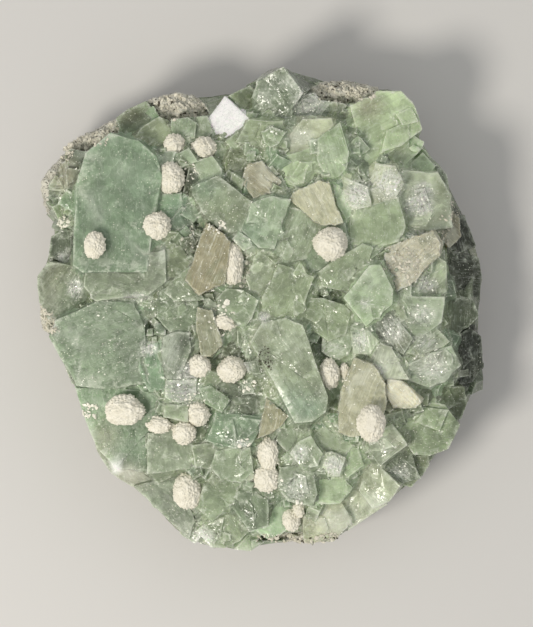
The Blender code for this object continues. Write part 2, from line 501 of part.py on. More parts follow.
# ---------------------------------------------------------------------------
# The pieces
# ---------------------------------------------------------------------------
def loft(name, rings, close_top, close_bottom):
    """Stack of rings with equal counts, capped with fans."""
    bm = bmesh.new()
    rows = [[bm.verts.new((p[0] * MM, p[1] * MM, p[2] * MM)) for p in r]
            for r in rings]
    n = len(rows[0])
    for a, b in zip(rows, rows[1:]):
        for i in range(n):
            j = (i + 1) % n
            bm.faces.new((a[i], a[j], b[j], b[i]))
    if close_bottom is None:
        bm.faces.new(list(reversed(rows[0])))
    else:
        c = bm.verts.new([close_bottom[k] * MM for k in range(3)])
        for i in range(n):
            bm.faces.new((c, rows[0][(i + 1) % n], rows[0][i]))
    c = bm.verts.new([close_top[k] * MM for k in range(3)])
    for i in range(n):
        bm.faces.new((c, rows[-1][i], rows[-1][(i + 1) % n]))
    bmesh.ops.recalc_face_normals(bm, faces=bm.faces)
    bmesh.ops.triangulate(bm, faces=bm.faces)
    return to_object(name, bm)


def rim_ring(scale, z, jitter, seed, count=28):
    """Outline ring at a scale and height, with uneven height."""
    ring = []
    for i in range(count):
        a = 2 * math.pi * (i + 0.5) / count
        x, y = math.cos(a), math.sin(a)
        e = edge_radius(x, y) * scale
        dz = (hash01(seed, i) - 0.5) * 2 * jitter
        e *= 1.0 - 0.03 * hash01(seed + 7, i) * (1 if scale < 0.99 else 0)
        ring.append((x * e, y * e, z + dz))
    return ring


def seat_slab(name, lift, low, reach=100.0):
    """Everything below the seat surface, as a closed block."""
    cell = 20.0
    first = int((200.0 - reach) // cell)
    last = int((200.0 + reach) // cell) + 1
    n = last - first + 1
    bm = bmesh.new()
    top, bottom = [], []
    for j in range(n):
        for i in range(n):
            x = (first + i) * cell - 200.0
            y = (first + j) * cell - 200.0
            top.append(bm.verts.new((x * MM, y * MM, (seat(x + 1e-6, y + 1e-6) + lift) * MM)))
    for j in (0, n - 1):
        for i in (0, n - 1):
            x = (first + i) * cell - 200.0
            y = (first + j) * cell - 200.0
            bottom.append(bm.verts.new((x * MM, y * MM, low * MM)))
    b00, b10, b01, b11 = bottom
    for j in range(n - 1):
        for i in range(n - 1):
            a, b = top[j * n + i], top[j * n + i + 1]
            c, d = top[(j + 1) * n + i + 1], top[(j + 1) * n + i]
            bm.faces.new((a, b, c))
            bm.faces.new((a, c, d))
    bm.faces.new((b00, b01, b11, b10))
    bm.faces.new([b00, b10] + [top[i] for i in reversed(range(n))])
    bm.faces.new([b11, b01] + [top[(n - 1) * n + i] for i in range(n)])
    bm.faces.new([b01, b00] + [top[j * n] for j in range(n)])
    bm.faces.new([b10, b11] + [top[j * n + n - 1] for j in reversed(range(n))])
    bmesh.ops.triangulate(bm, faces=bm.faces)
    bmesh.ops.recalc_face_normals(bm, faces=bm.faces)
    return to_object(name, bm)


def rim_crystals():
    """Small blocks that stand out around the sides, each leaning outward."""
    out = []
    count = 24
    for i in range(count):
        a = 2 * math.pi * (i + 0.3 * hash01(3, i)) / count
        ux, uy = math.cos(a), math.sin(a)
        e = edge_radius(ux, uy)
        size = 4.2 + 3.0 * hash01(5, i)
        z = 17.5 + 6.0 * hash01(9, i)
        lean = math.radians(52 + 26 * hash01(11, i))
        n = Vector((ux * math.sin(lean), uy * math.sin(lean), math.cos(lean)))
        side = Vector((-uy, ux, 0.0))
        up = n.cross(side).normalized()
        turn = math.radians(90 * hash01(13, i))
        s1 = side * math.cos(turn) + up * math.sin(turn)
        s2 = n.cross(s1)
        c = Vector((ux * (e - 1.2), uy * (e - 1.2), z))
        face, back = [], []
        for k, (p, q) in enumerate(((-1, -1), (1, -1), (1, 1), (-1, 1))):
            w = size * (0.8 + 0.4 * hash01(17, i, k))
            f = c + s1 * p * w + s2 * q * size
            r = math.hypot(f.x, f.y)
            lim = edge_radius(f.x, f.y) - 0.1
            if r > lim:
                f.x *= lim / r
                f.y *= lim / r
            face.append(f)
            b = f - n * 13.0
            b.z = max(b.z, 4.0)
            back.append(b)
        out.append(hull_object("rim_%02d" % i, face + back))
    return out


def build():
    for o in list(bpy.data.objects):
        bpy.data.objects.remove(o)

    # --- crystal cluster --------------------------------------------------
    rings = [rim_ring(0.99, 6.0, 0.0, 4), rim_ring(1.0, 17.5, 2.0, 5),
             rim_ring(0.985, 24.0, 1.6, 6), rim_ring(0.93, 30.2, 1.2, 7),
             rim_ring(0.80, 37.2, 0.9, 8), rim_ring(0.55, 41.2, 0.8, 9)]
    for ring in rings[3:]:
        for i, (x, y, z) in enumerate(ring):
            ring[i] = (x, y, min(z, dome(x, y) - 2.0))
    core = loft("crystal_cluster", rings, (0, 0, 42.6), None)
    solids = []
    for name, outline, rise, lx, ly, depth, tone in CRYSTALS:
        face, back = prism_points(plain_outline(outline), rise, lx, ly, depth)
        solids.append(hull_object("c_" + name, face + back))
    solids += rim_crystals()
    boolean(core, solids, "UNION")
    drop(solids)
    tidy(core)

    # --- blades ----------------------------------------------------------
    blades, blade_cutters = [], []
    for name, outline, rise, lx, ly, depth in BLADES:
        face, back = prism_points(outline, rise, lx, ly, depth, 1.02, SEAT + 3.0)
        blade = hull_object(name, face + back)
        blades.append(blade)
        blade_cutters.append(grown(blade, name + "_cut", GAP))

    # --- spherules: each rests in the surface right under it ---------------
    trees = [surface_tree(o) for o in [core] + blades]
    balls, ball_cutters = [], []
    for k, (name, px, py, a, b, rise) in enumerate(BALLS):
        x, y = world((px, py))
        rx, ry = a * UNIT * 0.98, b * UNIT * 0.98
        rz = 0.82 * min(rx, ry) + 0.12 * max(rx, ry)
        zc = resting_height(trees, x, y, rx, ry) + rise + 0.1 * rz
        balls.append(ball_object(name, x, y, rx, ry, rz, zc, k))
        ball_cutters.append(ball_object(name + "_cut", x, y, rx, ry, rz, zc, k, GAP))
    twin, twin_cut = [], []
    for k, (px, py, a, b) in enumerate(TWIN[1:3]):
        x, y = world((px, py))
        rx, ry = a * UNIT, b * UNIT
        zc = resting_height(trees, x, y, rx, ry) + TWIN[3]
        twin.append(ball_object(TWIN[0], x, y, rx, ry, 0.9 * rx, zc, 31 + k))
        twin_cut.append(ball_object(TWIN[0] + "_cut", x, y, rx, ry, 0.9 * rx, zc, 31 + k, GAP))
    boolean(twin[0], [twin[1]], "UNION")
    boolean(twin_cut[0], [twin_cut[1]], "UNION")
    drop([twin[1], twin_cut[1]])
    twin[0].name = TWIN[0]
    tidy(twin[0])
    tidy(twin_cut[0])
    balls.append(twin[0])
    ball_cutters.append(twin_cut[0])

    # neighbouring spherules keep clear of each other: the later one gives way
    for i in range(len(balls)):
        near = [ball_cutters[j] for j in range(i) if overlap_box(balls[i], balls[j])]
        if near:
            boolean(balls[i], near, "DIFFERENCE")
            tidy(balls[i])

    # blades give way to spherules and to earlier blades
    for i in range(len(blades)):
        near = [c for c in ball_cutters if overlap_box(blades[i], c)]
        near += [blade_cutters[j] for j in range(i) if overlap_box(blades[i], blades[j])]
        if near:
            boolean(blades[i], near, "DIFFERENCE")
            tidy(blades[i])

    # --- matrix ----------------------------------------------------------
    rings = [rim_ring(0.84, 0.0, 0.0, 1), rim_ring(0.93, 3.5, 0.8, 2),
             rim_ring(0.985, 9.0, 1.2, 3), rim_ring(0.985, 22.0, 0.0, 3)]
    matrix = loft("matrix", rings, (0, 0, 22.0), None)
    above = seat_slab("above", 0.0, -20.0)
    boolean(matrix, [above], "INTERSECT")
    drop([above])
    lumps, lump_cutters = [], []
    for k, (outline, top) in enumerate(LUMPS):
        pts = [world(p) for p in outline]
        cx = sum(p[0] for p in pts) / len(pts)
        cy = sum(p[1] for p in pts) / len(pts)
        points = []
        for j, (x, y) in enumerate(pts):
            points.append(Vector((x, y, top - 3.0 + 3.0 * hash01(21, k, j))))
            sx, sy = cx + (x - cx) * 0.93, cy + (y - cy) * 0.93
            points.append(Vector((sx, sy, 7.0)))
        points.append(Vector((cx, cy, top + 1.0)))
        lump = hull_object("lump_%d" % k, points)
        lumps.append(lump)
        lump_cutters.append(grown(lump, "lump_cut_%d" % k, GAP))
    boolean(matrix, lumps, "UNION")
    drop(lumps)
    tidy(matrix)

    # --- sockets and seat in the cluster -----------------------------------
    below = seat_slab("below", GAP, -20.0)
    boolean(core, [below] + lump_cutters + ball_cutters + blade_cutters, "DIFFERENCE")
    drop([below] + lump_cutters + ball_cutters + blade_cutters)
    tidy(core)

    # --- centre the whole on its footprint --------------------------------
    pieces = [matrix, core] + blades + balls
    lo = Vector((1e9, 1e9, 1e9))
    hi = -lo
    for o in pieces:
        for v in o.data.vertices:
            for k in range(3):
                lo[k] = min(lo[k], v.co[k])
                hi[k] = max(hi[k], v.co[k])
    shift = Vector((-(lo.x + hi.x) / 2, -(lo.y + hi.y) / 2, -lo.z))
    for o in pieces:
        for v in o.data.vertices:
            v.co += shift
        o.data.update()

    # --- materials ----------------------------------------------------------
    material(matrix, "matrix_crust", (0.52, 0.49, 0.42), 0.9)
    material(core, "apophyllite", (0.34, 0.42, 0.31), 0.2, 0.0, 0.5)
    for o in blades:
        material(o, "pale_blade", (0.50, 0.46, 0.34), 0.5)
    for o in balls:
        material(o, "spherule_white", (0.82, 0.79, 0.68), 0.95)
    return pieces


build()
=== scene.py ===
import json
import math

import bmesh
import bpy
import numpy as np
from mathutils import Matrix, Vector
from mathutils.bvhtree import BVHTree
from mathutils.kdtree import KDTree

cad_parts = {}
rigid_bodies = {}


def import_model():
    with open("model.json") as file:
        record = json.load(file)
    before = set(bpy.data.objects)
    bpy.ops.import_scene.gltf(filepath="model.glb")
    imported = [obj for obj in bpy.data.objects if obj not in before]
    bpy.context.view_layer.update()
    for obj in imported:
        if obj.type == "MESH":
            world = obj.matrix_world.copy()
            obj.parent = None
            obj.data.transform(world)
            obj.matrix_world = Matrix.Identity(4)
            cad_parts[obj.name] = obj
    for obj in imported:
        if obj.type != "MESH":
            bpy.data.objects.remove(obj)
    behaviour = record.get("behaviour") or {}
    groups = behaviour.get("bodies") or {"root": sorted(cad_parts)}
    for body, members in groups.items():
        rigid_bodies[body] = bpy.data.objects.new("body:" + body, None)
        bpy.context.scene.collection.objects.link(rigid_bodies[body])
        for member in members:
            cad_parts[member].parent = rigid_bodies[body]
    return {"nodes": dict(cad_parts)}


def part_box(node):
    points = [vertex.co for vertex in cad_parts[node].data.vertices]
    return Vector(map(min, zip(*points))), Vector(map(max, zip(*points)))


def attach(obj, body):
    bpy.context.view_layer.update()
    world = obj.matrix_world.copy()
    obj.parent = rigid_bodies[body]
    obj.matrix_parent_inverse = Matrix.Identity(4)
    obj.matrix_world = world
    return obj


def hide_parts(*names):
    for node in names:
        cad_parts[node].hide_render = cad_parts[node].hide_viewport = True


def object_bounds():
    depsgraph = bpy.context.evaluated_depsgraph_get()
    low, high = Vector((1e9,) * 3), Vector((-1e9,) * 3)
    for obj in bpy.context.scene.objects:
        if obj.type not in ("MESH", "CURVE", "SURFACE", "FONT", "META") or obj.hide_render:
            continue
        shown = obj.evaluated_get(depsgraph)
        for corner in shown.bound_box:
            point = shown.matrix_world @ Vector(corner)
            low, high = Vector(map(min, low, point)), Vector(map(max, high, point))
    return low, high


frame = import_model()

# The looks of a pale green apophyllite cluster. The outline tables are those
# of the solid model, in drawing units with y running down; everything is
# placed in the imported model's frame, in metres.

CAD_LO, CAD_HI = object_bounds()
MM = 0.001

# light levels
WORLD = 0.52
KEY = 5.4
FILL = 1.0

# ---------------------------------------------------------------------------
# Driving dimensions (millimetres unless a name says otherwise)
# ---------------------------------------------------------------------------
UNIT = 1.0 / 3.15          # mm for one drawing unit of the outline tables
CX, CY = 261.0, 307.0      # drawing point that becomes x = 0, y = 0 before centring
CROWN = 45.0               # height of the crystal tops over the middle of the plate
SEAT = 12.0                # mean height of the matrix surface the crystals grew on
GAP = 0.33                 # clearance between touching pieces

# Outline of the specimen seen from the crystal side (drawing units, clockwise)
OUTLINE = [
    (43, 182), (50, 177), (54, 168), (60, 163), (63, 150), (69, 145), (82, 137),
    (98, 131), (104, 132), (110, 127), (116, 118), (125, 110), (137, 102),
    (147, 99), (163, 97), (178, 94), (197, 99), (208, 109), (214, 109),
    (225, 97), (232, 93), (241, 89), (248, 79), (257, 73), (270, 67), (283, 62),
    (296, 75), (305, 87), (322, 84), (345, 83), (360, 85), (375, 90), (398, 88),
    (405, 96), (416, 109), (421, 116), (424, 142), (427, 151), (437, 161),
    (448, 172), (452, 190), (457, 207), (466, 213), (477, 245), (480, 257),
    (483, 280), (482, 303), (478, 318), (483, 350), (485, 366), (480, 379),
    (473, 396), (466, 415), (460, 426), (452, 433), (448, 447), (436, 454),
    (430, 466), (421, 478), (410, 487), (400, 486), (389, 503), (367, 518),
    (347, 533), (332, 543), (311, 546), (284, 544), (277, 540), (264, 544),
    (254, 542), (250, 552), (233, 552), (212, 550), (197, 546), (180, 535),
    (164, 520), (147, 501), (133, 487), (112, 474), (103, 459), (94, 447),
    (90, 431), (86, 410), (84, 395), (74, 386), (60, 359), (50, 335),
    (42, 328), (37, 303), (39, 285), (37, 274), (48, 258), (51, 235),
    (60, 228), (60, 215), (50, 211), (44, 195),
]

# Blocky crystals: name, outline of the front face, rise over the dome,
# lean of the face (x, y), depth, tone
# tones: 0 sage green, 1 blue green, 2 yellow green, 3 grey green, 4 clear,
#        5 dark olive, 6 milky, 7 mirror face, painted near white as a reflection
CRYSTALS = [
    ("left_slab", [(112, 135), (140, 142), (158, 158), (164, 178), (160, 215), (152, 240), (148, 272), (120, 270), (85, 272), (75, 265), (75, 205), (78, 187), (86, 170), (88, 155)], 3.0, -0.08, 0.05, 22, 1),
    ("left_slab_knee", [(88, 266), (120, 262), (148, 262), (166, 250), (168, 282), (150, 297), (125, 301), (98, 301), (86, 286)], 2.2, -0.10, -0.06, 18, 3),
    ("left_rim_block", [(48, 262), (75, 266), (90, 274), (92, 292), (72, 318), (50, 320), (40, 302), (38, 278)], 1.0, -0.20, 0.02, 18, 0),
    ("left_low", [(58, 320), (100, 300), (136, 303), (146, 325), (142, 345), (150, 382), (118, 388), (104, 384), (78, 386), (60, 359), (51, 336)], 2.4, -0.10, -0.06, 22, 1),
    ("left_low_tab", [(64, 366), (78, 364), (104, 367), (107, 382), (80, 387), (72, 384)], 2.6, -0.26, -0.22, 12, 4),
    ("left_foot", [(76, 388), (104, 386), (120, 391), (150, 391), (164, 400), (163, 416), (150, 434), (152, 470), (118, 468), (98, 446), (92, 420)], 1.8, -0.10, -0.08, 20, 1),
    ("left_foot_right", [(150, 432), (172, 428), (196, 446), (192, 468), (170, 471), (148, 472)], 1.4, 0.04, -0.10, 16, 0),
    ("left_foot_band", [(94, 432), (108, 448), (114, 460), (130, 464), (150, 474), (172, 471), (148, 484), (133, 487), (112, 474), (96, 449)], 0.4, -0.30, -0.28, 14, 6),
    ("bottom_left_flat", [(134, 486), (150, 478), (172, 472), (180, 500), (196, 520), (190, 540), (166, 522), (148, 502)], 0.6, -0.12, -0.20, 16, 3),
    ("left_tab", [(51, 236), (62, 230), (76, 230), (77, 268), (60, 264), (48, 258)], -1.0, -0.20, 0.05, 14, 3),
    ("top_left_box", [(116, 119), (126, 110), (147, 100), (158, 118), (140, 132), (122, 138)], 1.0, -0.10, 0.20, 18, 5),
    ("top_left_facet", [(64, 152), (78, 143), (88, 152), (87, 165), (83, 172), (66, 170)], -1.0, -0.28, 0.20, 14, 3),
    ("top_left_facet_low", [(66, 168), (84, 170), (82, 188), (72, 202), (66, 192)], -1.0, -0.28, 0.05, 14, 3),
    ("shoulder_block", [(140, 130), (160, 117), (173, 130), (165, 150), (150, 150), (136, 140)], 0.4, 0.08, 0.16, 14, 0),
    ("block_a", [(172, 121), (186, 117), (197, 124), (196, 140), (182, 142), (172, 134)], 1.0, -0.10, 0.10, 14, 0),
    ("block_b", [(197, 118), (208, 117), (213, 134), (206, 141), (196, 138)], 0.4, 0.08, 0.10, 14, 0),
    ("block_c", [(213, 141), (231, 147), (231, 162), (215, 159)], -0.6, 0.10, 0.0, 12, 0),
    ("block_d", [(192, 164), (213, 158), (222, 170), (223, 178), (203, 183)], 0.0, -0.04, 0.05, 12, 0),
    ("mirror_rhomb", [(225, 97), (250, 120), (233, 147), (206, 122)], 2.6, -0.26, 0.10, 18, 7),
    ("crown_block", [(256, 83), (282, 69), (302, 95), (285, 118), (265, 114), (252, 98)], 4.0, -0.16, -0.20, 20, 3),
    ("olive_back", [(230, 97), (250, 86), (262, 100), (265, 115), (248, 120)], 0.0, 0.22, 0.20, 16, 5),
    ("right_of_mirror", [(249, 121), (283, 122), (286, 133), (262, 151), (236, 144)], 0.8, 0.05, 0.02, 14, 0),
    ("small_truncated", [(261, 135), (272, 128), (286, 134), (278, 146), (270, 150), (264, 145)], 2.4, -0.10, -0.10, 9, 0),
    ("striated_top", [(285, 117), (302, 96), (322, 90), (330, 104), (316, 120), (298, 125)], 1.4, -0.02, 0.16, 16, 4),
    ("milky_top", [(290, 134), (298, 124), (315, 119), (330, 120), (333, 127), (317, 138), (314, 148), (286, 156), (282, 146)], 1.6, -0.06, 0.05, 14, 6),
    ("milky_yellow", [(317, 139), (339, 125), (348, 155), (346, 170), (340, 178), (327, 183), (316, 160)], 1.2, -0.05, 0.04, 14, 2),
    ("top_right_block", [(350, 107), (376, 93), (400, 92), (412, 103), (421, 130), (410, 134), (395, 150), (375, 165), (358, 148), (351, 125)], 3.0, 0.06, 0.06, 22, 2),
    ("clear_a", [(409, 134), (424, 142), (421, 149), (405, 166), (400, 170), (387, 161), (394, 150)], 1.0, 0.16, 0.00, 14, 0),
    ("olive_b", [(404, 168), (422, 152), (436, 166), (431, 173), (419, 174)], 0.0, 0.26, 0.14, 14, 3),
    ("right_ridge", [(436, 163), (448, 174), (451, 190), (441, 188)], 1.0, 0.36, 0.14, 14, 4),
    ("between_top", [(286, 156), (314, 147), (318, 160), (318, 180), (300, 190), (285, 184), (280, 168)], -0.6, 0.04, 0.04, 12, 0),
    ("spark_a", [(344, 178), (366, 188), (370, 208), (350, 212), (341, 194)], 1.0, -0.16, 0.00, 12, 6),
    ("spark_b", [(374, 164), (395, 167), (403, 185), (395, 200), (370, 210), (364, 190)], 1.6, -0.05, 0.05, 16, 6),
    ("spark_c", [(402, 171), (437, 173), (450, 196), (452, 228), (428, 232), (402, 226), (396, 200)], 2.2, 0.10, 0.00, 20, 4),
    ("mid_right_green", [(348, 213), (372, 210), (398, 198), (404, 228), (398, 243), (372, 249), (350, 245)], 0.6, 0.02, 0.05, 16, 0),
    ("behind_ball", [(298, 226), (345, 224), (353, 258), (334, 272), (308, 274), (294, 262)], 0.4, 0.02, 0.00, 14, 0),
    ("mid_right_low", [(340, 262), (361, 244), (372, 248), (368, 265), (348, 294), (324, 287), (316, 273)], 1.4, 0.00, -0.02, 15, 0),
    ("block_e", [(192, 188), (218, 177), (231, 190), (253, 203), (241, 233), (225, 234), (207, 220), (193, 196)], 2.0, -0.08, 0.00, 18, 0),
    ("block_f", [(252, 204), (272, 197), (291, 201), (283, 234), (274, 251), (258, 249), (241, 231)], 2.6, -0.08, 0.00, 18, 0),
    ("strip_f", [(290, 206), (305, 213), (321, 227), (306, 260), (286, 265), (277, 250), (284, 234)], 0.8, 0.06, 0.00, 14, 0),
    ("clear_g", [(231, 240), (239, 232), (250, 240), (253, 248), (243, 252)], 2.4, -0.10, 0.00, 9, 4),
    ("grey_h", [(258, 252), (270, 254), (278, 265), (276, 285), (264, 295), (250, 292), (245, 278)], 0.6, 0.04, 0.00, 14, 3),
    ("green_i", [(278, 265), (294, 269), (313, 277), (307, 298), (302, 311), (290, 323), (275, 322), (263, 310), (262, 298), (269, 291)], 2.4, -0.05, -0.05, 18, 0),
    ("yellow_j", [(226, 289), (244, 291), (259, 301), (252, 319), (243, 329), (221, 315), (216, 300)], 2.2, -0.10, 0.00, 16, 2),
    ("block_k", [(311, 298), (322, 298), (344, 306), (350, 312), (346, 334), (328, 341), (298, 322), (305, 305)], 0.6, 0.00, 0.00, 14, 0),
    ("block_k_low", [(322, 338), (346, 328), (354, 338), (348, 354), (334, 360), (320, 352)], 0.2, 0.02, -0.04, 14, 0),
    ("truncated", [(368, 266), (379, 265), (387, 277), (392, 291), (391, 306), (364, 326), (350, 310), (342, 298), (349, 293)], 4.0, -0.05, -0.05, 18, 0),
    ("clear_l", [(405, 290), (438, 257), (446, 262), (446, 292), (438, 297), (410, 297)], 0.6, 0.10, -0.05, 14, 4),
    ("clear_m", [(404, 296), (443, 297), (439, 322), (428, 329), (414, 342), (397, 322)], 1.8, 0.02, -0.08, 16, 4),
    ("fan_n", [(372, 322), (384, 312), (396, 318), (412, 338), (402, 354), (388, 346)], 0.8, -0.05, 0.05, 14, 4),
    ("block_o", [(404, 352), (433, 326), (447, 341), (440, 347), (417, 355)], 1.8, 0.06, 0.18, 14, 4),
    ("light_p", [(379, 341), (390, 346), (398, 361), (407, 378), (384, 380), (371, 363)], 2.2, -0.10, 0.00, 14, 6),
    ("gold_q", [(350, 334), (366, 328), (378, 340), (370, 353), (352, 353)], 1.4, -0.06, 0.04, 12, 6),
    ("clear_r", [(417, 355), (448, 345), (458, 366), (443, 381), (428, 387), (407, 380), (400, 365)], 4.0, -0.04, -0.06, 20, 4),
    ("dark_s", [(412, 390), (430, 386), (464, 386), (468, 401), (461, 419), (448, 416), (437, 403)], 0.4, 0.28, -0.10, 16, 5),
    ("flat_t", [(388, 410), (417, 406), (435, 402), (444, 405), (459, 424), (451, 436), (447, 449), (429, 455), (413, 454), (405, 442), (391, 422)], 3.4, 0.05, -0.08, 20, 0),
    ("light_u", [(391, 422), (405, 443), (379, 465), (363, 446), (372, 432)], 2.0, -0.12, -0.08, 14, 4),
    ("striated_v", [(388, 442), (408, 444), (414, 456), (421, 478), (400, 484), (378, 466)], 0.4, 0.14, -0.16, 14, 3),
    ("speckled_w", [(400, 456), (428, 455), (430, 465), (421, 478), (410, 487), (400, 486), (390, 472)], 0.8, 0.18, -0.26, 14, 5),
    ("light_x", [(364, 466), (378, 465), (400, 485), (389, 501), (372, 508), (359, 490)], 3.6, -0.10, -0.10, 15, 6),
    # the rim crystals take the dark olive tone, here also painted shade on the edge turned away from the light
    ("rim_a", [(441, 232), (452, 214), (466, 214), (470, 224), (477, 246), (462, 252), (445, 250)], 0.0, 0.50, 0.10, 16, 5),
    ("rim_b", [(445, 252), (462, 252), (480, 258), (483, 280), (479, 297), (455, 296), (445, 275)], 0.0, 0.55, 0.00, 16, 5),
    ("rim_c", [(445, 300), (458, 296), (472, 299), (479, 316), (468, 328), (450, 338), (443, 322)], 2.4, 0.40, -0.05, 15, 5),
    ("rim_d", [(448, 342), (470, 328), (482, 336), (485, 366), (474, 382), (456, 386), (458, 366)], 0.0, 0.50, -0.16, 16, 5),
    ("prism", [(251, 341), (262, 321), (285, 318), (302, 325), (309, 343), (318, 375), (327, 396), (325, 410), (312, 419), (295, 421), (283, 405), (262, 371)], 4.8, -0.04, 0.03, 20, 0),
    ("hex_clear", [(243, 362), (257, 359), (262, 374), (249, 373)], 1.0, -0.05, 0.00, 9, 3),
    ("between_prism", [(212, 384), (222, 380), (248, 388), (264, 392), (262, 412), (250, 416), (226, 412), (230, 399)], -0.6, 0.02, 0.02, 12, 3),
    ("block_y", [(216, 412), (262, 415), (259, 429), (251, 443), (236, 448), (206, 440), (210, 424)], 1.0, -0.05, 0.00, 14, 1),
    ("block_z", [(211, 466), (216, 448), (250, 446), (254, 470), (241, 481), (221, 479)], 1.0, 0.00, -0.05, 14, 0),
    ("grey_za", [(192, 444), (216, 440), (217, 458), (210, 466), (196, 466)], 0.6, 0.06, -0.02, 12, 3),
    ("low_a", [(204, 482), (240, 478), (234, 500), (213, 520), (198, 506)], -0.2, 0.02, -0.06, 13, 0),
    ("low_b", [(240, 480), (256, 492), (268, 498), (269, 524), (250, 530), (229, 503)], 0.0, 0.02, -0.10, 14, 0),
    ("plate_bottom", [(197, 530), (212, 519), (229, 503), (251, 528), (241, 540), (225, 548), (211, 547)], 2.6, -0.05, -0.20, 13, 4),
    ("plate_bottom_b", [(241, 541), (251, 530), (266, 530), (264, 543), (250, 552), (233, 551)], 0.0, 0.00, -0.24, 12, 4),
    ("yellow_aa", [(200, 388), (211, 385), (231, 399), (222, 412), (206, 402)], 1.6, 0.02, 0.04, 10, 2),
    ("spark_ab", [(177, 364), (196, 362), (198, 378), (178, 379)], 1.4, -0.08, 0.00, 9, 4),
    ("spark_ac", [(167, 379), (198, 378), (197, 396), (178, 403), (166, 396)], 2.0, -0.08, 0.00, 11, 4),
    ("smooth_ad", [(165, 402), (190, 403), (189, 421), (165, 416)], 2.2, 0.00, -0.04, 11, 3),
    ("milky_column", [(164, 336), (176, 330), (190, 332), (192, 350), (182, 378), (168, 378), (163, 356)], 1.6, -0.06, 0.00, 14, 3),
    ("column_ae", [(160, 292), (172, 286), (198, 300), (200, 322), (190, 334), (170, 331), (158, 318)], 0.4, 0.04, 0.00, 13, 0),
    ("square_ag", [(142, 346), (160, 340), (166, 388), (150, 391), (140, 370)], 0.8, 0.06, 0.00, 14, 1),
    ("column_af", [(182, 332), (198, 330), (200, 352), (194, 360), (182, 356)], -0.4, 0.08, 0.00, 12, 3),
    ("cube_ah", [(290, 452), (298, 440), (310, 434), (322, 452), (317, 464), (303, 468)], 2.6, -0.10, 0.00, 11, 0),
    ("bright_ai", [(323, 451), (330, 449), (344, 456), (339, 474), (326, 474)], 2.4, -0.12, 0.02, 9, 6),
    ("spark_aj", [(279, 466), (297, 464), (313, 475), (316, 491), (311, 504), (288, 498), (277, 484)], 2.0, -0.04, -0.04, 14, 0),
    ("grey_ak", [(318, 474), (340, 474), (353, 486), (340, 502), (316, 502), (312, 490)], 0.6, 0.00, -0.06, 13, 0),
    ("grey_al", [(339, 442), (358, 447), (364, 464), (346, 476), (336, 462)], 0.8, 0.02, 0.00, 12, 0),
    ("grey_am", [(324, 424), (336, 431), (353, 444), (341, 456), (322, 450), (312, 436)], 0.0, 0.04, 0.02, 12, 3),
    ("low_c", [(306, 506), (342, 503), (352, 521), (334, 541), (304, 542), (302, 522)], 0.4, 0.00, -0.22, 14, 6),
    ("low_d", [(342, 502), (362, 490), (388, 504), (367, 518), (348, 531)], 1.6, -0.04, -0.22, 14, 6),
    ("low_e", [(258, 500), (284, 498), (288, 528), (272, 540), (256, 530)], 0.0, 0.00, -0.16, 13, 0),
    ("low_f", [(180, 512), (198, 508), (213, 520), (196, 532), (196, 545), (180, 534)], 0.2, -0.05, -0.20, 13, 3),
    ("facet_ao", [(168, 250), (182, 246), (192, 262), (186, 276), (162, 284), (163, 266)], 0.8, 0.14, 0.00, 12, 5),
    ("facet_ap", [(170, 284), (191, 266), (196, 288), (205, 300), (176, 302), (166, 294)], 1.0, -0.04, 0.00, 12, 0),
    ("facet_aq", [(158, 196), (182, 194), (184, 213), (172, 224), (157, 212)], 0.2, -0.04, 0.00, 12, 1),
    ("facet_ar", [(183, 206), (196, 228), (182, 240), (172, 238), (171, 222)], 0.4, 0.02, 0.02, 12, 0),
    ("facet_as", [(190, 166), (204, 182), (193, 198), (181, 202), (183, 185)], -1.0, 0.06, 0.00, 12, 5),
    ("facet_av", [(332, 184), (343, 192), (352, 213), (346, 223), (336, 206)], 0.2, 0.06, 0.02, 12, 0),
    ("facet_aw", [(231, 150), (252, 150), (250, 164), (240, 180), (226, 174), (224, 164)], -0.8, 0.06, 0.02, 12, 5),
    ("facet_ax", [(190, 420), (206, 424), (204, 442), (196, 444)], -1.0, 0.06, -0.04, 10, 5),
    ("facet_ay", [(283, 406), (296, 421), (300, 438), (288, 452), (276, 440), (282, 424)], -0.8, 0.00, -0.04, 12, 3),
    ("facet_az", [(326, 384), (336, 392), (336, 430), (322, 424), (326, 408)], -1.2, 0.10, 0.00, 12, 3),
    ("facet_ba", [(270, 430), (288, 434), (286, 456), (278, 464), (268, 450)], -1.0, 0.04, -0.02, 10, 5),
    ("facet_bb", [(353, 354), (371, 353), (384, 380), (386, 400), (372, 404), (356, 384)], 0.4, 0.02, 0.00, 12, 6),
    ("facet_bc", [(222, 346), (244, 340), (250, 360), (236, 360), (222, 354)], -1.4, 0.06, 0.00, 11, 5),
]

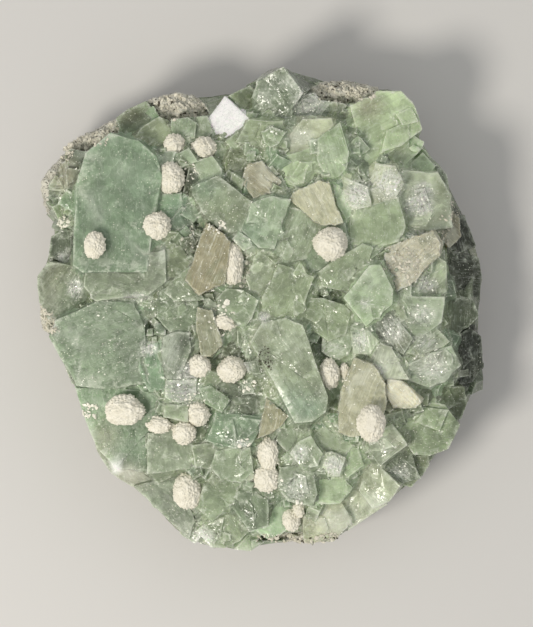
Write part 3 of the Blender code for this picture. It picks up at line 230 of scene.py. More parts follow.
# Pale blades and crusted crystals: name, outline, rise, lean x, lean y, depth
BLADES = [
    ("tan_blade", [(207, 223), (224, 234), (231, 243), (223, 261), (227, 280), (224, 285), (200, 295), (186, 281), (198, 252), (203, 233)], 3.6, -0.06, 0.02, 16),
    ("tan_wedge", [(266, 397), (277, 404), (289, 415), (281, 424), (271, 433), (258, 438), (262, 416)], 1.4, 0.00, 0.00, 12),
    ("striated_blade", [(341, 386), (353, 356), (372, 362), (384, 382), (386, 400), (380, 425), (372, 434), (348, 436), (337, 430), (337, 402)], 4.2, -0.06, -0.04, 15),
    ("cream_blade", [(385, 378), (400, 380), (421, 400), (414, 406), (392, 407), (385, 395)], 4.2, -0.10, -0.06, 11),
    ("beige_column", [(198, 308), (213, 310), (221, 332), (224, 344), (212, 356), (201, 355), (197, 330)], 2.2, -0.04, 0.00, 13),
    ("beige_block", [(300, 190), (318, 181), (328, 183), (331, 203), (342, 224), (333, 227), (320, 227), (311, 222), (300, 210), (290, 201), (293, 193)], 3.0, -0.06, 0.02, 13),
    ("brown_block", [(248, 165), (261, 162), (282, 182), (272, 195), (255, 200), (240, 182)], 1.4, 0.04, 0.06, 13),
    ("white_crusted", [(383, 248), (401, 244), (432, 230), (440, 244), (438, 257), (405, 288), (395, 292), (387, 275), (382, 258)], 1.8, -0.08, 0.04, 14),
    ("beige_knob", [(434, 206), (446, 205), (460, 218), (462, 236), (450, 248), (440, 240), (436, 222)], 1.4, 0.34, 0.08, 13),
]

# Cauliflower spherules: name, centre x, y, half width, half height, rise
BALLS = [
    ("spherule_01", 175, 147, 11, 11, 2.4), ("spherule_02", 204, 150, 12, 12, 1.8),
    ("spherule_03", 172, 180, 14, 16, 2.6), ("spherule_04", 158, 227, 13.5, 14, 2.2),
    ("spherule_05", 97, 246, 10.5, 13.5, 1.8), ("spherule_06", 330, 245, 17, 16, 1.4),
    ("spherule_07", 233, 265, 10, 21, 1.8), ("spherule_08", 126, 409, 20, 15, 1.8),
    ("spherule_09", 185, 432, 12, 12, 1.8), ("spherule_10", 199, 413, 11.5, 12, 1.8),
    ("spherule_11", 201, 366, 11, 11.5, 1.6), ("spherule_12", 232, 369, 14, 13, 1.4),
    ("spherule_13", 328, 374, 11.5, 15, 2.2), ("spherule_14", 344, 371, 4.5, 8, 0.7),
    ("spherule_15", 369, 421, 14, 18, 3.8), ("spherule_16", 187.5, 490, 15, 19, 1.8),
    ("spherule_17", 291, 519, 9, 12, 1.2), ("spherule_18", 299, 507, 6, 9, 1.2),
    ("spherule_19", 161, 424, 12, 8, 1.2), ("spherule_20", 226, 322, 12, 8, 0.6),
]
TWIN = ("spherule_twin", (268, 452, 11, 16), (267, 476, 13, 15), 1.8)

# Granular crust lumps that belong to the matrix and stand up at the rim:
# outline, height of the top
LUMPS = [
    ([(43, 182), (54, 168), (63, 156), (70, 168), (70, 196), (62, 214), (50, 211), (44, 195)], 27.0),
    ([(60, 215), (71, 206), (76, 224), (62, 228)], 24.0),
    ([(64, 148), (82, 137), (98, 131), (116, 119), (120, 137), (112, 134), (88, 152), (78, 143)], 24.0),
    ([(150, 101), (163, 97), (178, 94), (197, 99), (208, 109), (210, 115), (184, 119), (172, 122), (160, 118)], 30.0),
    ([(311, 90), (322, 84), (345, 83), (376, 90), (374, 99), (345, 104), (320, 101)], 30.0),
    ([(255, 542), (262, 533), (284, 536), (300, 540), (330, 532), (345, 532), (332, 543), (311, 546), (284, 544)], 17.0),
    ([(38, 302), (50, 312), (62, 332), (50, 335), (42, 328)], 20.0),
]


# ---------------------------------------------------------------------------
# Shape helpers shared by all pieces
# ---------------------------------------------------------------------------
def outline_radius():
    """Table of the outline's distance from the middle against direction."""
    pts = [((x - CX) * UNIT, (CY - y) * UNIT) for x, y in OUTLINE]
    steps = 720
    table = []
    for i in range(steps):
        a = 2 * math.pi * i / steps
        dx, dy = math.cos(a), math.sin(a)
        best = 0.0
        for j in range(len(pts)):
            x1, y1 = pts[j]
            x2, y2 = pts[(j + 1) % len(pts)]
            ex, ey = x2 - x1, y2 - y1
            den = dx * ey - dy * ex
            if abs(den) < 1e-9:
                continue
            t = (x1 * ey - y1 * ex) / den
            u = (x1 * dy - y1 * dx) / den
            if t > 0 and -1e-6 <= u <= 1 + 1e-6:
                best = max(best, t)
        table.append(best)
    return table


RADII = outline_radius()


def edge_radius(x, y):
    a = math.atan2(y, x) % (2 * math.pi)
    f = a / (2 * math.pi) * len(RADII)
    i = int(f) % len(RADII)
    j = (i + 1) % len(RADII)
    return RADII[i] * (1 - f % 1) + RADII[j] * (f % 1)


def dome(x, y):
    """Height of the crystal tops over the plate, falling off at the rim."""
    r = math.hypot(x, y) / max(edge_radius(x, y), 1.0)
    fall = max(0.0, (r - 0.68) / 0.32)
    right = max(0.0, (x - 52.0) / 16.0)
    return CROWN - 4.5 * r * r - 14.0 * fall ** 1.7 - 7.0 * right ** 1.6


def hash01(*key):
    """Repeatable pseudo-random number from a few integers."""
    v = 0.0
    for i, k in enumerate(key):
        v += (k + 1.37) * (12.9898 + 7.233 * i)
    v = math.sin(v) * 43758.5453
    return v - math.floor(v)


def seat(x, y):
    """Height of the rough matrix surface that carries the crystals."""
    cell = 20.0
    gx, gy = (x + 200.0) / cell, (y + 200.0) / cell
    i, j = int(gx), int(gy)
    u, v = gx - i, gy - j
    h00, h10 = hash01(i, j), hash01(i + 1, j)
    h01, h11 = hash01(i, j + 1), hash01(i + 1, j + 1)
    h = (h00 * (1 - u) + h10 * u) * (1 - v) + (h01 * (1 - u) + h11 * u) * v
    return SEAT + 3.0 * (h - 0.5)


def world(p):
    return (p[0] - CX) * UNIT, (CY - p[1]) * UNIT


def plain_outline(outline, flat=150.0):
    """The outline without corners that hardly turn."""
    pts = list(outline)
    changed = True
    while changed and len(pts) > 4:
        changed = False
        for i in range(len(pts)):
            a, b, c = pts[i - 1], pts[i], pts[(i + 1) % len(pts)]
            ang = math.degrees(abs(math.atan2(a[1] - b[1], a[0] - b[0])
                                   - math.atan2(c[1] - b[1], c[0] - b[0])))
            ang = min(ang, 360.0 - ang)
            if ang > flat:
                pts.pop(i)
                changed = True
                break
    return pts


def prism_points(outline, rise, lean_x, lean_y, depth, flare=1.15, floor=3.0):
    """Face points on a tilted plane, and the same outline pushed back along
    the plane's normal."""
    pts = [world(p) for p in outline]
    cx = sum(p[0] for p in pts) / len(pts)
    cy = sum(p[1] for p in pts) / len(pts)
    top = dome(cx, cy) + rise
    n = Vector((lean_x, lean_y, 1.0)).normalized()
    face, back = [], []
    for x, y in pts:
        z = top - (lean_x * (x - cx) + lean_y * (y - cy))
        face.append(Vector((x, y, z)))
    mid = sum(face, Vector()) / len(face)
    for f in face:
        b = mid + (f - mid) * flare - n * depth
        r, e = math.hypot(b.x, b.y), edge_radius(b.x, b.y)
        if r > e:
            b.x *= e / r
            b.y *= e / r
        b.z = max(b.z, floor)
        back.append(b)
    return face, back


# ---------------------------------------------------------------------------
# Where the drawing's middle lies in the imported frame
# ---------------------------------------------------------------------------
def find_shift():
    name, outline, rise, lx, ly, depth = [b for b in BLADES if b[0] == "brown_block"][0]
    face, back = prism_points(outline, rise, lx, ly, depth, 1.02, SEAT + 3.0)
    pts = np.array([list(p) for p in face + back])
    lo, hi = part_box(name)
    return np.array([lo.x * 1000 - pts[:, 0].min(), lo.y * 1000 - pts[:, 1].min(),
                     hi.z * 1000 - pts[:, 2].max()])


SHIFT = find_shift()


# ---------------------------------------------------------------------------
# Numpy helpers: noise, refinement, displacement
# ---------------------------------------------------------------------------
def lattice(ix, iy, iz, seed):
    h = (ix * 374761393 + iy * 668265263 + iz * 2147483647 + seed * 974634777) & 0xFFFFFFFF
    h = ((h ^ (h >> 13)) * 1274126177) & 0xFFFFFFFF
    h = (h ^ (h >> 16)) & 0xFFFFFFFF
    return h.astype(np.float64) / 4294967295.0


def noise3(p, seed=0):
    """Smooth value noise in 0..1 at points p (n x 3)."""
    i = np.floor(p).astype(np.int64)
    f = p - i
    f = f * f * (3 - 2 * f)
    out = np.zeros(len(p))
    for dx in (0, 1):
        wx = f[:, 0] if dx else 1 - f[:, 0]
        for dy in (0, 1):
            wy = f[:, 1] if dy else 1 - f[:, 1]
            for dz in (0, 1):
                wz = f[:, 2] if dz else 1 - f[:, 2]
                out += wx * wy * wz * lattice(i[:, 0] + dx, i[:, 1] + dy, i[:, 2] + dz, seed)
    return out


def fbm(p, octaves=4, seed=0):
    total, amp, norm = 0.0, 1.0, 0.0
    for k in range(octaves):
        total = total + amp * noise3(p * 2.0 ** k, seed + 17 * k)
        norm += amp
        amp *= 0.5
    return total / norm


def worley(p, seed=0):
    """Nearest distance, and the nearest cell's random value."""
    i = np.floor(p).astype(np.int64)
    best = np.full(len(p), 9.0)
    value = np.zeros(len(p))
    for dx in (-1, 0, 1):
        for dy in (-1, 0, 1):
            for dz in (-1, 0, 1):
                cx, cy, cz = i[:, 0] + dx, i[:, 1] + dy, i[:, 2] + dz
                fx = cx + lattice(cx, cy, cz, seed)
                fy = cy + lattice(cx, cy, cz, seed + 1)
                fz = cz + lattice(cx, cy, cz, seed + 2)
                d = np.sqrt((p[:, 0] - fx) ** 2 + (p[:, 1] - fy) ** 2 + (p[:, 2] - fz) ** 2)
                near = d < best
                best = np.where(near, d, best)
                value = np.where(near, lattice(cx, cy, cz, seed + 3), value)
    return best, value


def refine(verts, tris, longest, most):
    """Split every edge that is too long; returns vertices, triangles and
    the first triangle each one came from."""
    parent = np.arange(len(tris))
    for _ in range(12):
        edges = np.concatenate([tris[:, [0, 1]], tris[:, [1, 2]], tris[:, [2, 0]]])
        key = np.sort(edges, axis=1)
        uniq, inv = np.unique(key, axis=0, return_inverse=True)
        inv = inv.reshape(-1)
        length = np.linalg.norm(verts[uniq[:, 0]] - verts[uniq[:, 1]], axis=1)
        limit = longest(0.5 * (verts[uniq[:, 0]] + verts[uniq[:, 1]]))
        split = length > limit
        room = (most - len(tris)) // 2
        if not split.any() or room < 1:
            break
        if split.sum() > room:
            # no room for them all: the longest for their place go first
            excess = np.where(split, length / limit, 0.0)
            split &= excess > np.sort(excess)[-room]
            if not split.any():
                break
        index = np.full(len(uniq), -1)
        index[split] = len(verts) + np.arange(split.sum())
        verts = np.concatenate([verts, 0.5 * (verts[uniq[split, 0]] + verts[uniq[split, 1]])])
        n = len(tris)
        m = np.stack([index[inv[:n]], index[inv[n:2 * n]], index[inv[2 * n:]]], axis=1)
        # rotate each triangle so that its longest edge comes first
        el = np.stack([length[inv[:n]], length[inv[n:2 * n]], length[inv[2 * n:]]], axis=1)
        el = np.where(m >= 0, el, -1.0)
        first = el.argmax(axis=1)
        roll = (np.arange(3)[None, :] + first[:, None]) % 3
        t = np.take_along_axis(tris, roll, axis=1)
        m = np.take_along_axis(m, roll, axis=1)
        count = (m >= 0).sum(axis=1)
        out, par = [t[count == 0]], [parent[count == 0]]
        # one split edge (first)
        s = (m[:, 0] >= 0) & (m[:, 1] < 0) & (m[:, 2] < 0)
        a, b, c, ab = t[s, 0], t[s, 1], t[s, 2], m[s, 0]
        out += [np.stack([a, ab, c], 1), np.stack([ab, b, c], 1)]
        par += [parent[s]] * 2
        # two split edges: first and second
        s = (m[:, 0] >= 0) & (m[:, 1] >= 0) & (m[:, 2] < 0)
        a, b, c, ab, bc = t[s, 0], t[s, 1], t[s, 2], m[s, 0], m[s, 1]
        out += [np.stack([ab, b, bc], 1), np.stack([ab, bc, c], 1), np.stack([a, ab, c], 1)]
        par += [parent[s]] * 3
        # first and third
        s = (m[:, 0] >= 0) & (m[:, 1] < 0) & (m[:, 2] >= 0)
        a, b, c, ab, ca = t[s, 0], t[s, 1], t[s, 2], m[s, 0], m[s, 2]
        out += [np.stack([a, ab, ca], 1), np.stack([ab, c, ca], 1), np.stack([ab, b, c], 1)]
        par += [parent[s]] * 3
        s = count == 3
        a, b, c = t[s, 0], t[s, 1], t[s, 2]
        ab, bc, ca = m[s, 0], m[s, 1], m[s, 2]
        out += [np.stack([a, ab, ca], 1), np.stack([ab, b, bc], 1),
                np.stack([ca, bc, c], 1), np.stack([ab, bc, ca], 1)]
        par += [parent[s]] * 4
        tris = np.concatenate(out)
        parent = np.concatenate(par)
    return verts, tris, parent


def face_normals(verts, tris):
    n = np.cross(verts[tris[:, 1]] - verts[tris[:, 0]], verts[tris[:, 2]] - verts[tris[:, 0]])
    area = np.linalg.norm(n, axis=1)
    return n / np.maximum(area, 1e-12)[:, None], area


def vertex_normals(verts, tris):
    n, area = face_normals(verts, tris)
    out = np.zeros_like(verts)
    for k in range(3):
        np.add.at(out, tris[:, k], n * area[:, None])
    return out / np.maximum(np.linalg.norm(out, axis=1), 1e-12)[:, None]


def mesh_arrays(obj):
    mesh = obj.data
    mesh.calc_loop_triangles()
    v = np.empty(len(mesh.vertices) * 3)
    mesh.vertices.foreach_get("co", v)
    t = np.empty(len(mesh.loop_triangles) * 3, np.int32)
    mesh.loop_triangles.foreach_get("vertices", t)
    return v.reshape(-1, 3), t.reshape(-1, 3).astype(np.int64)


def clean_tris(tris):
    """Mask of the triangles that are neither collapsed nor repeated."""
    key = np.sort(tris, axis=1)
    ok = (key[:, 0] != key[:, 1]) & (key[:, 1] != key[:, 2])
    order = np.lexsort((key[:, 2], key[:, 1], key[:, 0]))
    same = (key[order][1:] == key[order][:-1]).all(axis=1)
    ok[order[1:][same]] = False
    ok[order[:-1][same]] = False
    return ok


def make_piece(name, verts_mm, tris, smooth=True, sharp=None):
    mesh = bpy.data.meshes.new(name)
    mesh.vertices.add(len(verts_mm))
    mesh.vertices.foreach_set("co", (verts_mm * MM).astype(np.float32).ravel())
    mesh.loops.add(len(tris) * 3)
    mesh.loops.foreach_set("vertex_index", tris.astype(np.int32).ravel())
    mesh.polygons.add(len(tris))
    mesh.polygons.foreach_set("loop_start", np.arange(0, len(tris) * 3, 3, dtype=np.int32))
    mesh.polygons.foreach_set("loop_total", np.full(len(tris), 3, np.int32))
    mesh.update(calc_edges=True)
    mesh.validate()
    if smooth:
        mesh.shade_smooth()
        if sharp is not None:
            mesh.set_sharp_from_angle(angle=math.radians(sharp))
    obj = bpy.data.objects.new(name, mesh)
    bpy.context.scene.collection.objects.link(obj)
    return obj


def corner_colour(obj, name, rgba):
    """Colour attribute with one value per triangle corner."""
    attr = obj.data.color_attributes.new(name, "FLOAT_COLOR", "CORNER")
    attr.data.foreach_set("color", rgba.astype(np.float32).ravel())


def hull_mesh(points, bevel=0.0, cuts=()):
    """Convex solid with trimmed corners and narrow chamfers, as an object."""
    bm = bmesh.new()
    for p in points:
        bm.verts.new((p[0], p[1], p[2]))
    bmesh.ops.remove_doubles(bm, verts=bm.verts, dist=0.05)
    res = bmesh.ops.convex_hull(bm, input=list(bm.verts))
    junk = [g for g in res["geom_interior"] + res["geom_unused"]
            if isinstance(g, bmesh.types.BMVert)]
    bmesh.ops.delete(bm, geom=list(set(junk)), context="VERTS")
    bmesh.ops.dissolve_limit(bm, angle_limit=math.radians(1.0),
                             verts=bm.verts, edges=bm.edges)
    for co, no in cuts:
        out = bmesh.ops.bisect_plane(bm, geom=bm.verts[:] + bm.edges[:] + bm.faces[:],
                                     dist=1e-5, plane_co=co, plane_no=no, clear_outer=True)
        rim = [g for g in out["geom_cut"] if isinstance(g, bmesh.types.BMEdge)]
        if rim:
            bmesh.ops.contextual_create(bm, geom=rim)
    if bevel:
        bmesh.ops.bevel(bm, geom=bm.edges[:], offset=bevel, offset_type="OFFSET",
                        segments=1, profile=0.5, affect="EDGES", clamp_overlap=True)
    bmesh.ops.recalc_face_normals(bm, faces=bm.faces)
    bmesh.ops.triangulate(bm, faces=bm.faces)
    mesh = bpy.data.meshes.new("tmp")
    bm.to_mesh(mesh)
    bm.free()
    obj = bpy.data.objects.new("tmp", mesh)
    bpy.context.scene.collection.objects.link(obj)
    return obj


def drop(objects):
    for o in objects:
        mesh = o.data
        bpy.data.objects.remove(o)
        if mesh.users == 0:
            bpy.data.meshes.remove(mesh)


def boolean(obj, others, operation, solver="MANIFOLD"):
    group = bpy.data.collections.new("operands")
    for o in others:
        group.objects.link(o)
    mod = obj.modifiers.new("cut", "BOOLEAN")
    mod.operation = operation
    mod.solver = solver
    mod.operand_type = "COLLECTION"
    mod.collection = group
    bpy.context.view_layer.update()
    graph = bpy.context.evaluated_depsgraph_get()
    mesh = bpy.data.meshes.new_from_object(obj.evaluated_get(graph))
    obj.modifiers.clear()
    old = obj.data
    obj.data = mesh
    bpy.data.meshes.remove(old)
    bpy.data.collections.remove(group)


def biggest_body(verts, tris):
    """Welded copy that keeps only the largest closed body."""
    key = np.round(verts / 1e-4).astype(np.int64)
    _, first, inv = np.unique(key, axis=0, return_index=True, return_inverse=True)
    inv = inv.reshape(-1)
    verts, tris = verts[first], inv[tris]
    ok = (tris[:, 0] != tris[:, 1]) & (tris[:, 1] != tris[:, 2]) & (tris[:, 0] != tris[:, 2])
    tris = tris[ok]
    label = np.arange(len(verts))
    while True:
        low = label[tris].min(axis=1)
        new = label.copy()
        for k in range(3):
            np.minimum.at(new, tris[:, k], low)
        new = new[new]
        if (new == label).all():
            break
        label = new
    tl = label[tris[:, 0]]
    vol = np.einsum("ij,ij->i", verts[tris[:, 0]], np.cross(verts[tris[:, 1]], verts[tris[:, 2]])) / 6
    ids, ti = np.unique(tl, return_inverse=True)
    total = np.bincount(ti.reshape(-1), weights=vol)
    keep = ids[total.argmax()]
    tris = tris[tl == keep]
    used, inv = np.unique(tris, return_inverse=True)
    return verts[used], inv.reshape(tris.shape)


# ---------------------------------------------------------------------------
# Surface facts that only the looks need (drawing units)
# ---------------------------------------------------------------------------
# Patches full of fine cracks that glitter, given painted glints and a painted white sheen: x, y, half width, half
# height, strength
SPARKLES = [
    (77, 289, 6, 9, 1.0), (63, 257, 6, 5, 0.9), (103, 314, 5, 4, 0.8), (150, 348, 8, 6, 0.9),
    (52, 324, 6, 6, 0.9), (418, 206, 13, 9, 1.0), (264, 317, 5, 5, 0.9), (376, 371, 7, 8, 0.7),
    (360, 340, 8, 11, 0.6), (184, 389, 15, 12, 0.9), (242, 442, 6, 4, 0.8), (300, 452, 9, 8, 0.7),
    (334, 463, 9, 9, 0.9), (426, 285, 9, 8, 0.8), (363, 303, 6, 6, 0.6), (309, 103, 16, 14, 0.7),
    (418, 238, 12, 8, 0.6), (387, 184, 16, 16, 0.7), (356, 196, 12, 14, 0.8), (422, 193, 10, 10, 0.8),
    (420, 315, 12, 10, 0.5), (92, 377, 16, 7, 0.6), (202, 537, 12, 10, 0.7), (140, 297, 12, 5, 0.5),
    (296, 486, 12, 12, 0.5), (190, 372, 10, 8, 0.8), (430, 366, 18, 12, 0.45), (392, 330, 12, 12, 0.6),
    (332, 348, 12, 8, 0.4), (400, 472, 12, 8, 0.5), (246, 366, 8, 6, 0.5), (425, 342, 12, 9, 0.5),
]
# Small faces painted near white, as bright as a mirror: painted reflection
MIRRORS = [(116, 467, 5.2, 6, 1.0)]
# Cloudy white veils inside: x, y, half width, half height, strength; the first, at (101, 330), is a painted highlight
VEILS = [
    (101, 330, 4, 3, 1.0), (288, 84, 12, 7, 0.5), (266, 96, 9, 8, 0.4), (164, 256, 5, 9, 0.7),
    (300, 139, 14, 8, 0.6), (324, 61, 20, 10, 0.3), (376, 500, 12, 9, 0.6), (340, 520, 20, 12, 0.5),
    (56, 300, 8, 12, 0.2), (172, 350, 9, 20, 0.5), (212, 318, 10, 16, 0.4), (384, 445, 12, 12, 0.3),
    (380, 362, 12, 12, 0.4), (130, 474, 8, 5, 0.25), (290, 345, 14, 16, 0.22), (436, 372, 14, 10, 0.35),
    (430, 310, 12, 10, 0.3), (330, 160, 10, 14, 0.3), (205, 538, 9, 8, 0.8), (371, 282, 12, 14, 0.25),
    (98, 204, 10, 8, 0.45), (84, 152, 9, 7, 0.3), (122, 238, 12, 9, 0.25), (140, 262, 9, 8, 0.3),
    (128, 170, 10, 16, 0.2), (92, 240, 8, 12, 0.2), (90, 350, 14, 8, 0.25), (78, 335, 8, 10, 0.3),
]
# Soft changes of body colour, some of them painted light or painted shade: x, y, half width, half height, colour,
# strength
SHADES = [
    (368, 108, 14, 12, (184, 186, 160), 0.8), (50, 288, 12, 22, (162, 167, 143), 0.7),
    (60, 268, 14, 8, (150, 153, 128), 0.6), (105, 440, 12, 20, (172, 176, 150), 0.7),
    (130, 475, 16, 14, (174, 174, 158), 0.8), (300, 405, 20, 14, (158, 180, 160), 0.7),
    (395, 340, 12, 10, (178, 182, 160), 0.5), (62, 175, 14, 18, (190, 186, 162), 0.7),
    (130, 116, 16, 10, (128, 128, 106), 0.6), (400, 440, 14, 10, (164, 168, 146), 0.6),
    (330, 520, 20, 10, (198, 200, 180), 0.6), (220, 200, 18, 16, (172, 186, 158), 0.5),
    (168, 533, 12, 10, (180, 177, 164), 0.6), (430, 360, 14, 10, (200, 202, 188), 0.6),
    # the patches at (338, 106) and (401, 156) lighten hollows that lie in shadow: painted light; the dark patch at
    # (194, 244) is painted shade in a hollow
    (262, 335, 10, 14, (184, 190, 168), 0.5), (338, 106, 8, 7, (194, 201, 176), 0.8),
    (442, 188, 10, 10, (138, 146, 120), 0.7), (389, 405, 8, 8, (200, 202, 180), 0.8),
    (361, 150, 11, 12, (184, 200, 174), 0.8), (401, 156, 10, 9, (188, 196, 172), 0.7),
    (194, 244, 8, 11, (98, 104, 82), 0.8), (69, 282, 9, 9, (140, 149, 123), 0.6),
    (274, 70, 8, 7, (124, 130, 106), 0.6), (178, 214, 12, 14, (150, 176, 152), 0.5),
    (206, 190, 12, 10, (156, 180, 156), 0.5), (250, 235, 14, 12, (160, 184, 160), 0.4),
    (140, 196, 10, 30, (166, 188, 164), 0.35), (96, 158, 12, 20, (172, 190, 166), 0.3),
]
# Places where the gaps between crystals are deepened, and where painted shade darkens their colour
HOLLOWS = [
    (194, 244, 11, 18, 1.0), (212, 295, 12, 9, 0.8), (332, 297, 13, 8, 0.7), (156, 328, 11, 8, 0.6),
    (314, 346, 9, 10, 0.6), (266, 357, 6, 9, 0.7), (238, 178, 10, 16, 0.5), (300, 178, 12, 12, 0.3),
]
# Broad smooth faces: how many low plates they carry
SMOOTH = {"left_slab": 0, "left_low": 2, "left_foot": 1, "left_rim_block": 0, "prism": 1,
          "left_slab_knee": 2, "left_foot_band": 0, "mid_right_green": 1, "block_e": 1,
          "flat_t": 1, "milky_column": 0, "top_left_box": 0, "shoulder_block": 0, "clear_r": 2,
          "top_right_block": 2, "crown_block": 1, "truncated": 1, "milky_yellow": 1, "cube_ah": 1}
STRIPED = {"striated_top": 0.9, "fan_n": 0.9, "bright_ai": 0.9, "block_o": 0.6, "clear_r": 0.35,
           "striated_v": 0.8, "clear_m": 0.3, "clear_l": 0.4, "spark_a": 0.5, "milky_yellow": 0.4,
           "top_right_block": 0.25, "light_p": 0.5, "gold_q": 0.7, "prism": 0.22, "rim_b": 0.5,
           "rim_c": 0.5, "rim_d": 0.5, "rim_a": 0.5, "right_ridge": 0.6, "left_slab": 0.08,
           "truncated": 0.10, "left_rim_block": 0.35, "left_tab": 0.4, "column_ae": 0.4,
           "milky_column": 0.4, "crown_block": 0.25, "left_low_tab": 0.6, "plate_bottom": 0.5,
           "light_u": 0.4, "light_x": 0.3, "speckled_w": 0.6, "strip_f": 0.3}


# Faces with a satin finish
DULL = ("left_low", "left_foot", "left_foot_band", "left_low_tab", "left_foot_right", "left_slab",
        "left_rim_block", "bottom_left_flat", "left_slab_knee")
# Crystals a little lighter or darker than their family; many factors are painted light or shade: the rim crystals
# darkened as painted shade, and low crystals in shadow such as clear_a, grey_ak, grey_al and grey_am lightened as
# painted light
BRIGHT = {
    "rim_b": 0.4, "rim_d": 0.3, "rim_a": 0.3, "left_foot_band": 0.6, "fan_n": 0.5,
    "spark_ab": 0.4, "left_tab": 0.5, "left_slab": 0.8,
    "facet_ar": 0.4, "facet_as": 0.4, "left_rim_block": 0.7, "left_low": 0.7,
    "left_low_tab": 0.7, "left_foot": 0.8, "bottom_left_flat": 0.8, "top_left_facet": 0.5,
    "block_b": 0.8, "crown_block": 0.7, "right_ridge": 0.5, "block_e": 0.7, "yellow_j": 0.8,
    "striated_v": 0.6, "striated_top": 0.8, "hex_clear": 0.8, "between_prism": 0.6, "yellow_aa": 0.8,
    "milky_column": 0.7, "column_ae": 0.8, "facet_ap": 0.8, "facet_bc": 0.5, "light_x": 0.9,
    "block_y": 0.8, "low_a": 0.9, "low_b": 0.7, "facet_ax": 0.8, "left_foot_right": 0.8,
    "top_left_facet_low": 0.7, "prism": 0.9, "spark_aj": 0.8, "left_slab_knee": 0.8,
    "milky_yellow": 1.1, "spark_c": 1.1, "gold_q": 1.1, "mid_right_green": 1.2,
    "block_f": 1.2, "grey_h": 1.2, "block_k_low": 1.2, "truncated": 1.2, "plate_bottom_b": 1.2,
    "spark_ac": 1.2, "smooth_ad": 1.2, "block_d": 1.3, "top_right_block": 1.3, "grey_am": 1.3,
    "low_e": 1.6, "facet_az": 1.5, "grey_al": 1.4, "clear_a": 1.6, "olive_b": 1.6,
    "between_top": 1.5, "grey_ak": 1.6, "facet_av": 1.8,
}


def srgb(r, g, b):
    out = []
    for c in (r, g, b):
        c = c / 255.0
        out.append(c / 12.92 if c <= 0.04045 else ((c + 0.055) / 1.055) ** 2.4)
    return np.array(out)


# base colour, share of clearness for each tone
TONES = {
    0: (srgb(171, 183, 159), 0.20), 1: (srgb(160, 180, 153), 0.20), 2: (srgb(178, 192, 164), 0.20),
    3: (srgb(170, 180, 160), 0.28), 4: (srgb(193, 203, 182), 0.36), 5: (srgb(150, 161, 134), 0.30),
    # tone 7, the mirror face, is painted near white as a reflection
    6: (srgb(194, 200, 180), 0.12), 7: (srgb(242, 242, 238), 0.0),
}


def px_of(v):
    """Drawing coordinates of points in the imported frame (mm)."""
    return (v[:, 0] - SHIFT[0]) / UNIT + CX, CY - (v[:, 1] - SHIFT[1]) / UNIT


def patch_mask(px, py, table):
    out = np.zeros(len(px))
    for x, y, a, b, s in table:
        d = np.sqrt(((px - x) / a) ** 2 + ((py - y) / b) ** 2)
        out = np.maximum(out, s * np.clip(1.5 - d, 0, 1))
    return out


def inside(px, py, outline):
    hit = np.zeros(len(px), bool)
    n = len(outline)
    for i in range(n):
        x1, y1 = outline[i]
        x2, y2 = outline[(i + 1) % n]
        cross = ((y1 > py) != (y2 > py))
        with np.errstate(divide="ignore", invalid="ignore"):
            xi = (x2 - x1) * (py - y1) / (y2 - y1 + 1e-12) + x1
        hit ^= cross & (px < xi)
    return hit


# ---------------------------------------------------------------------------
# Crystals
# ---------------------------------------------------------------------------
class Block:
    """One crystal: its hull points, its axes and its tone."""

    def __init__(self, points, normal, along, tone, stripes, seed, named):
        self.points = [Vector(p) + Vector(SHIFT) for p in points]
        self.n = np.array(normal) / np.linalg.norm(normal)
        u = np.array(along) - np.dot(along, self.n) * self.n
        self.u = u / max(np.linalg.norm(u), 1e-9)
        self.v = np.cross(self.n, self.u)
        self.tone, self.stripes, self.seed, self.named = tone, stripes, seed, named
        self.centre = np.mean([list(p) for p in self.points], axis=0)


def longest_edge(outline):
    best, out = 0.0, (1.0, 0.0)
    for i in range(len(outline)):
        a, b = world(outline[i]), world(outline[(i + 1) % len(outline)])
        d = math.hypot(b[0] - a[0], b[1] - a[1])
        if d > best:
            best, out = d, (b[0] - a[0], b[1] - a[1])
    return (out[0], out[1], 0.0)


def near_ball(qx, qy, more):
    """Whether a drawing point lies under a spherule."""
    for name, bx, by, a, b, rise in BALLS:
        if ((qx - bx) / (a + more)) ** 2 + ((qy - by) / (b + more)) ** 2 < 1.0:
            return True
    return any(((qx - bx) / (a + more)) ** 2 + ((qy - by) / (b + more)) ** 2 < 1.0
               for bx, by, a, b in TWIN[1:3])


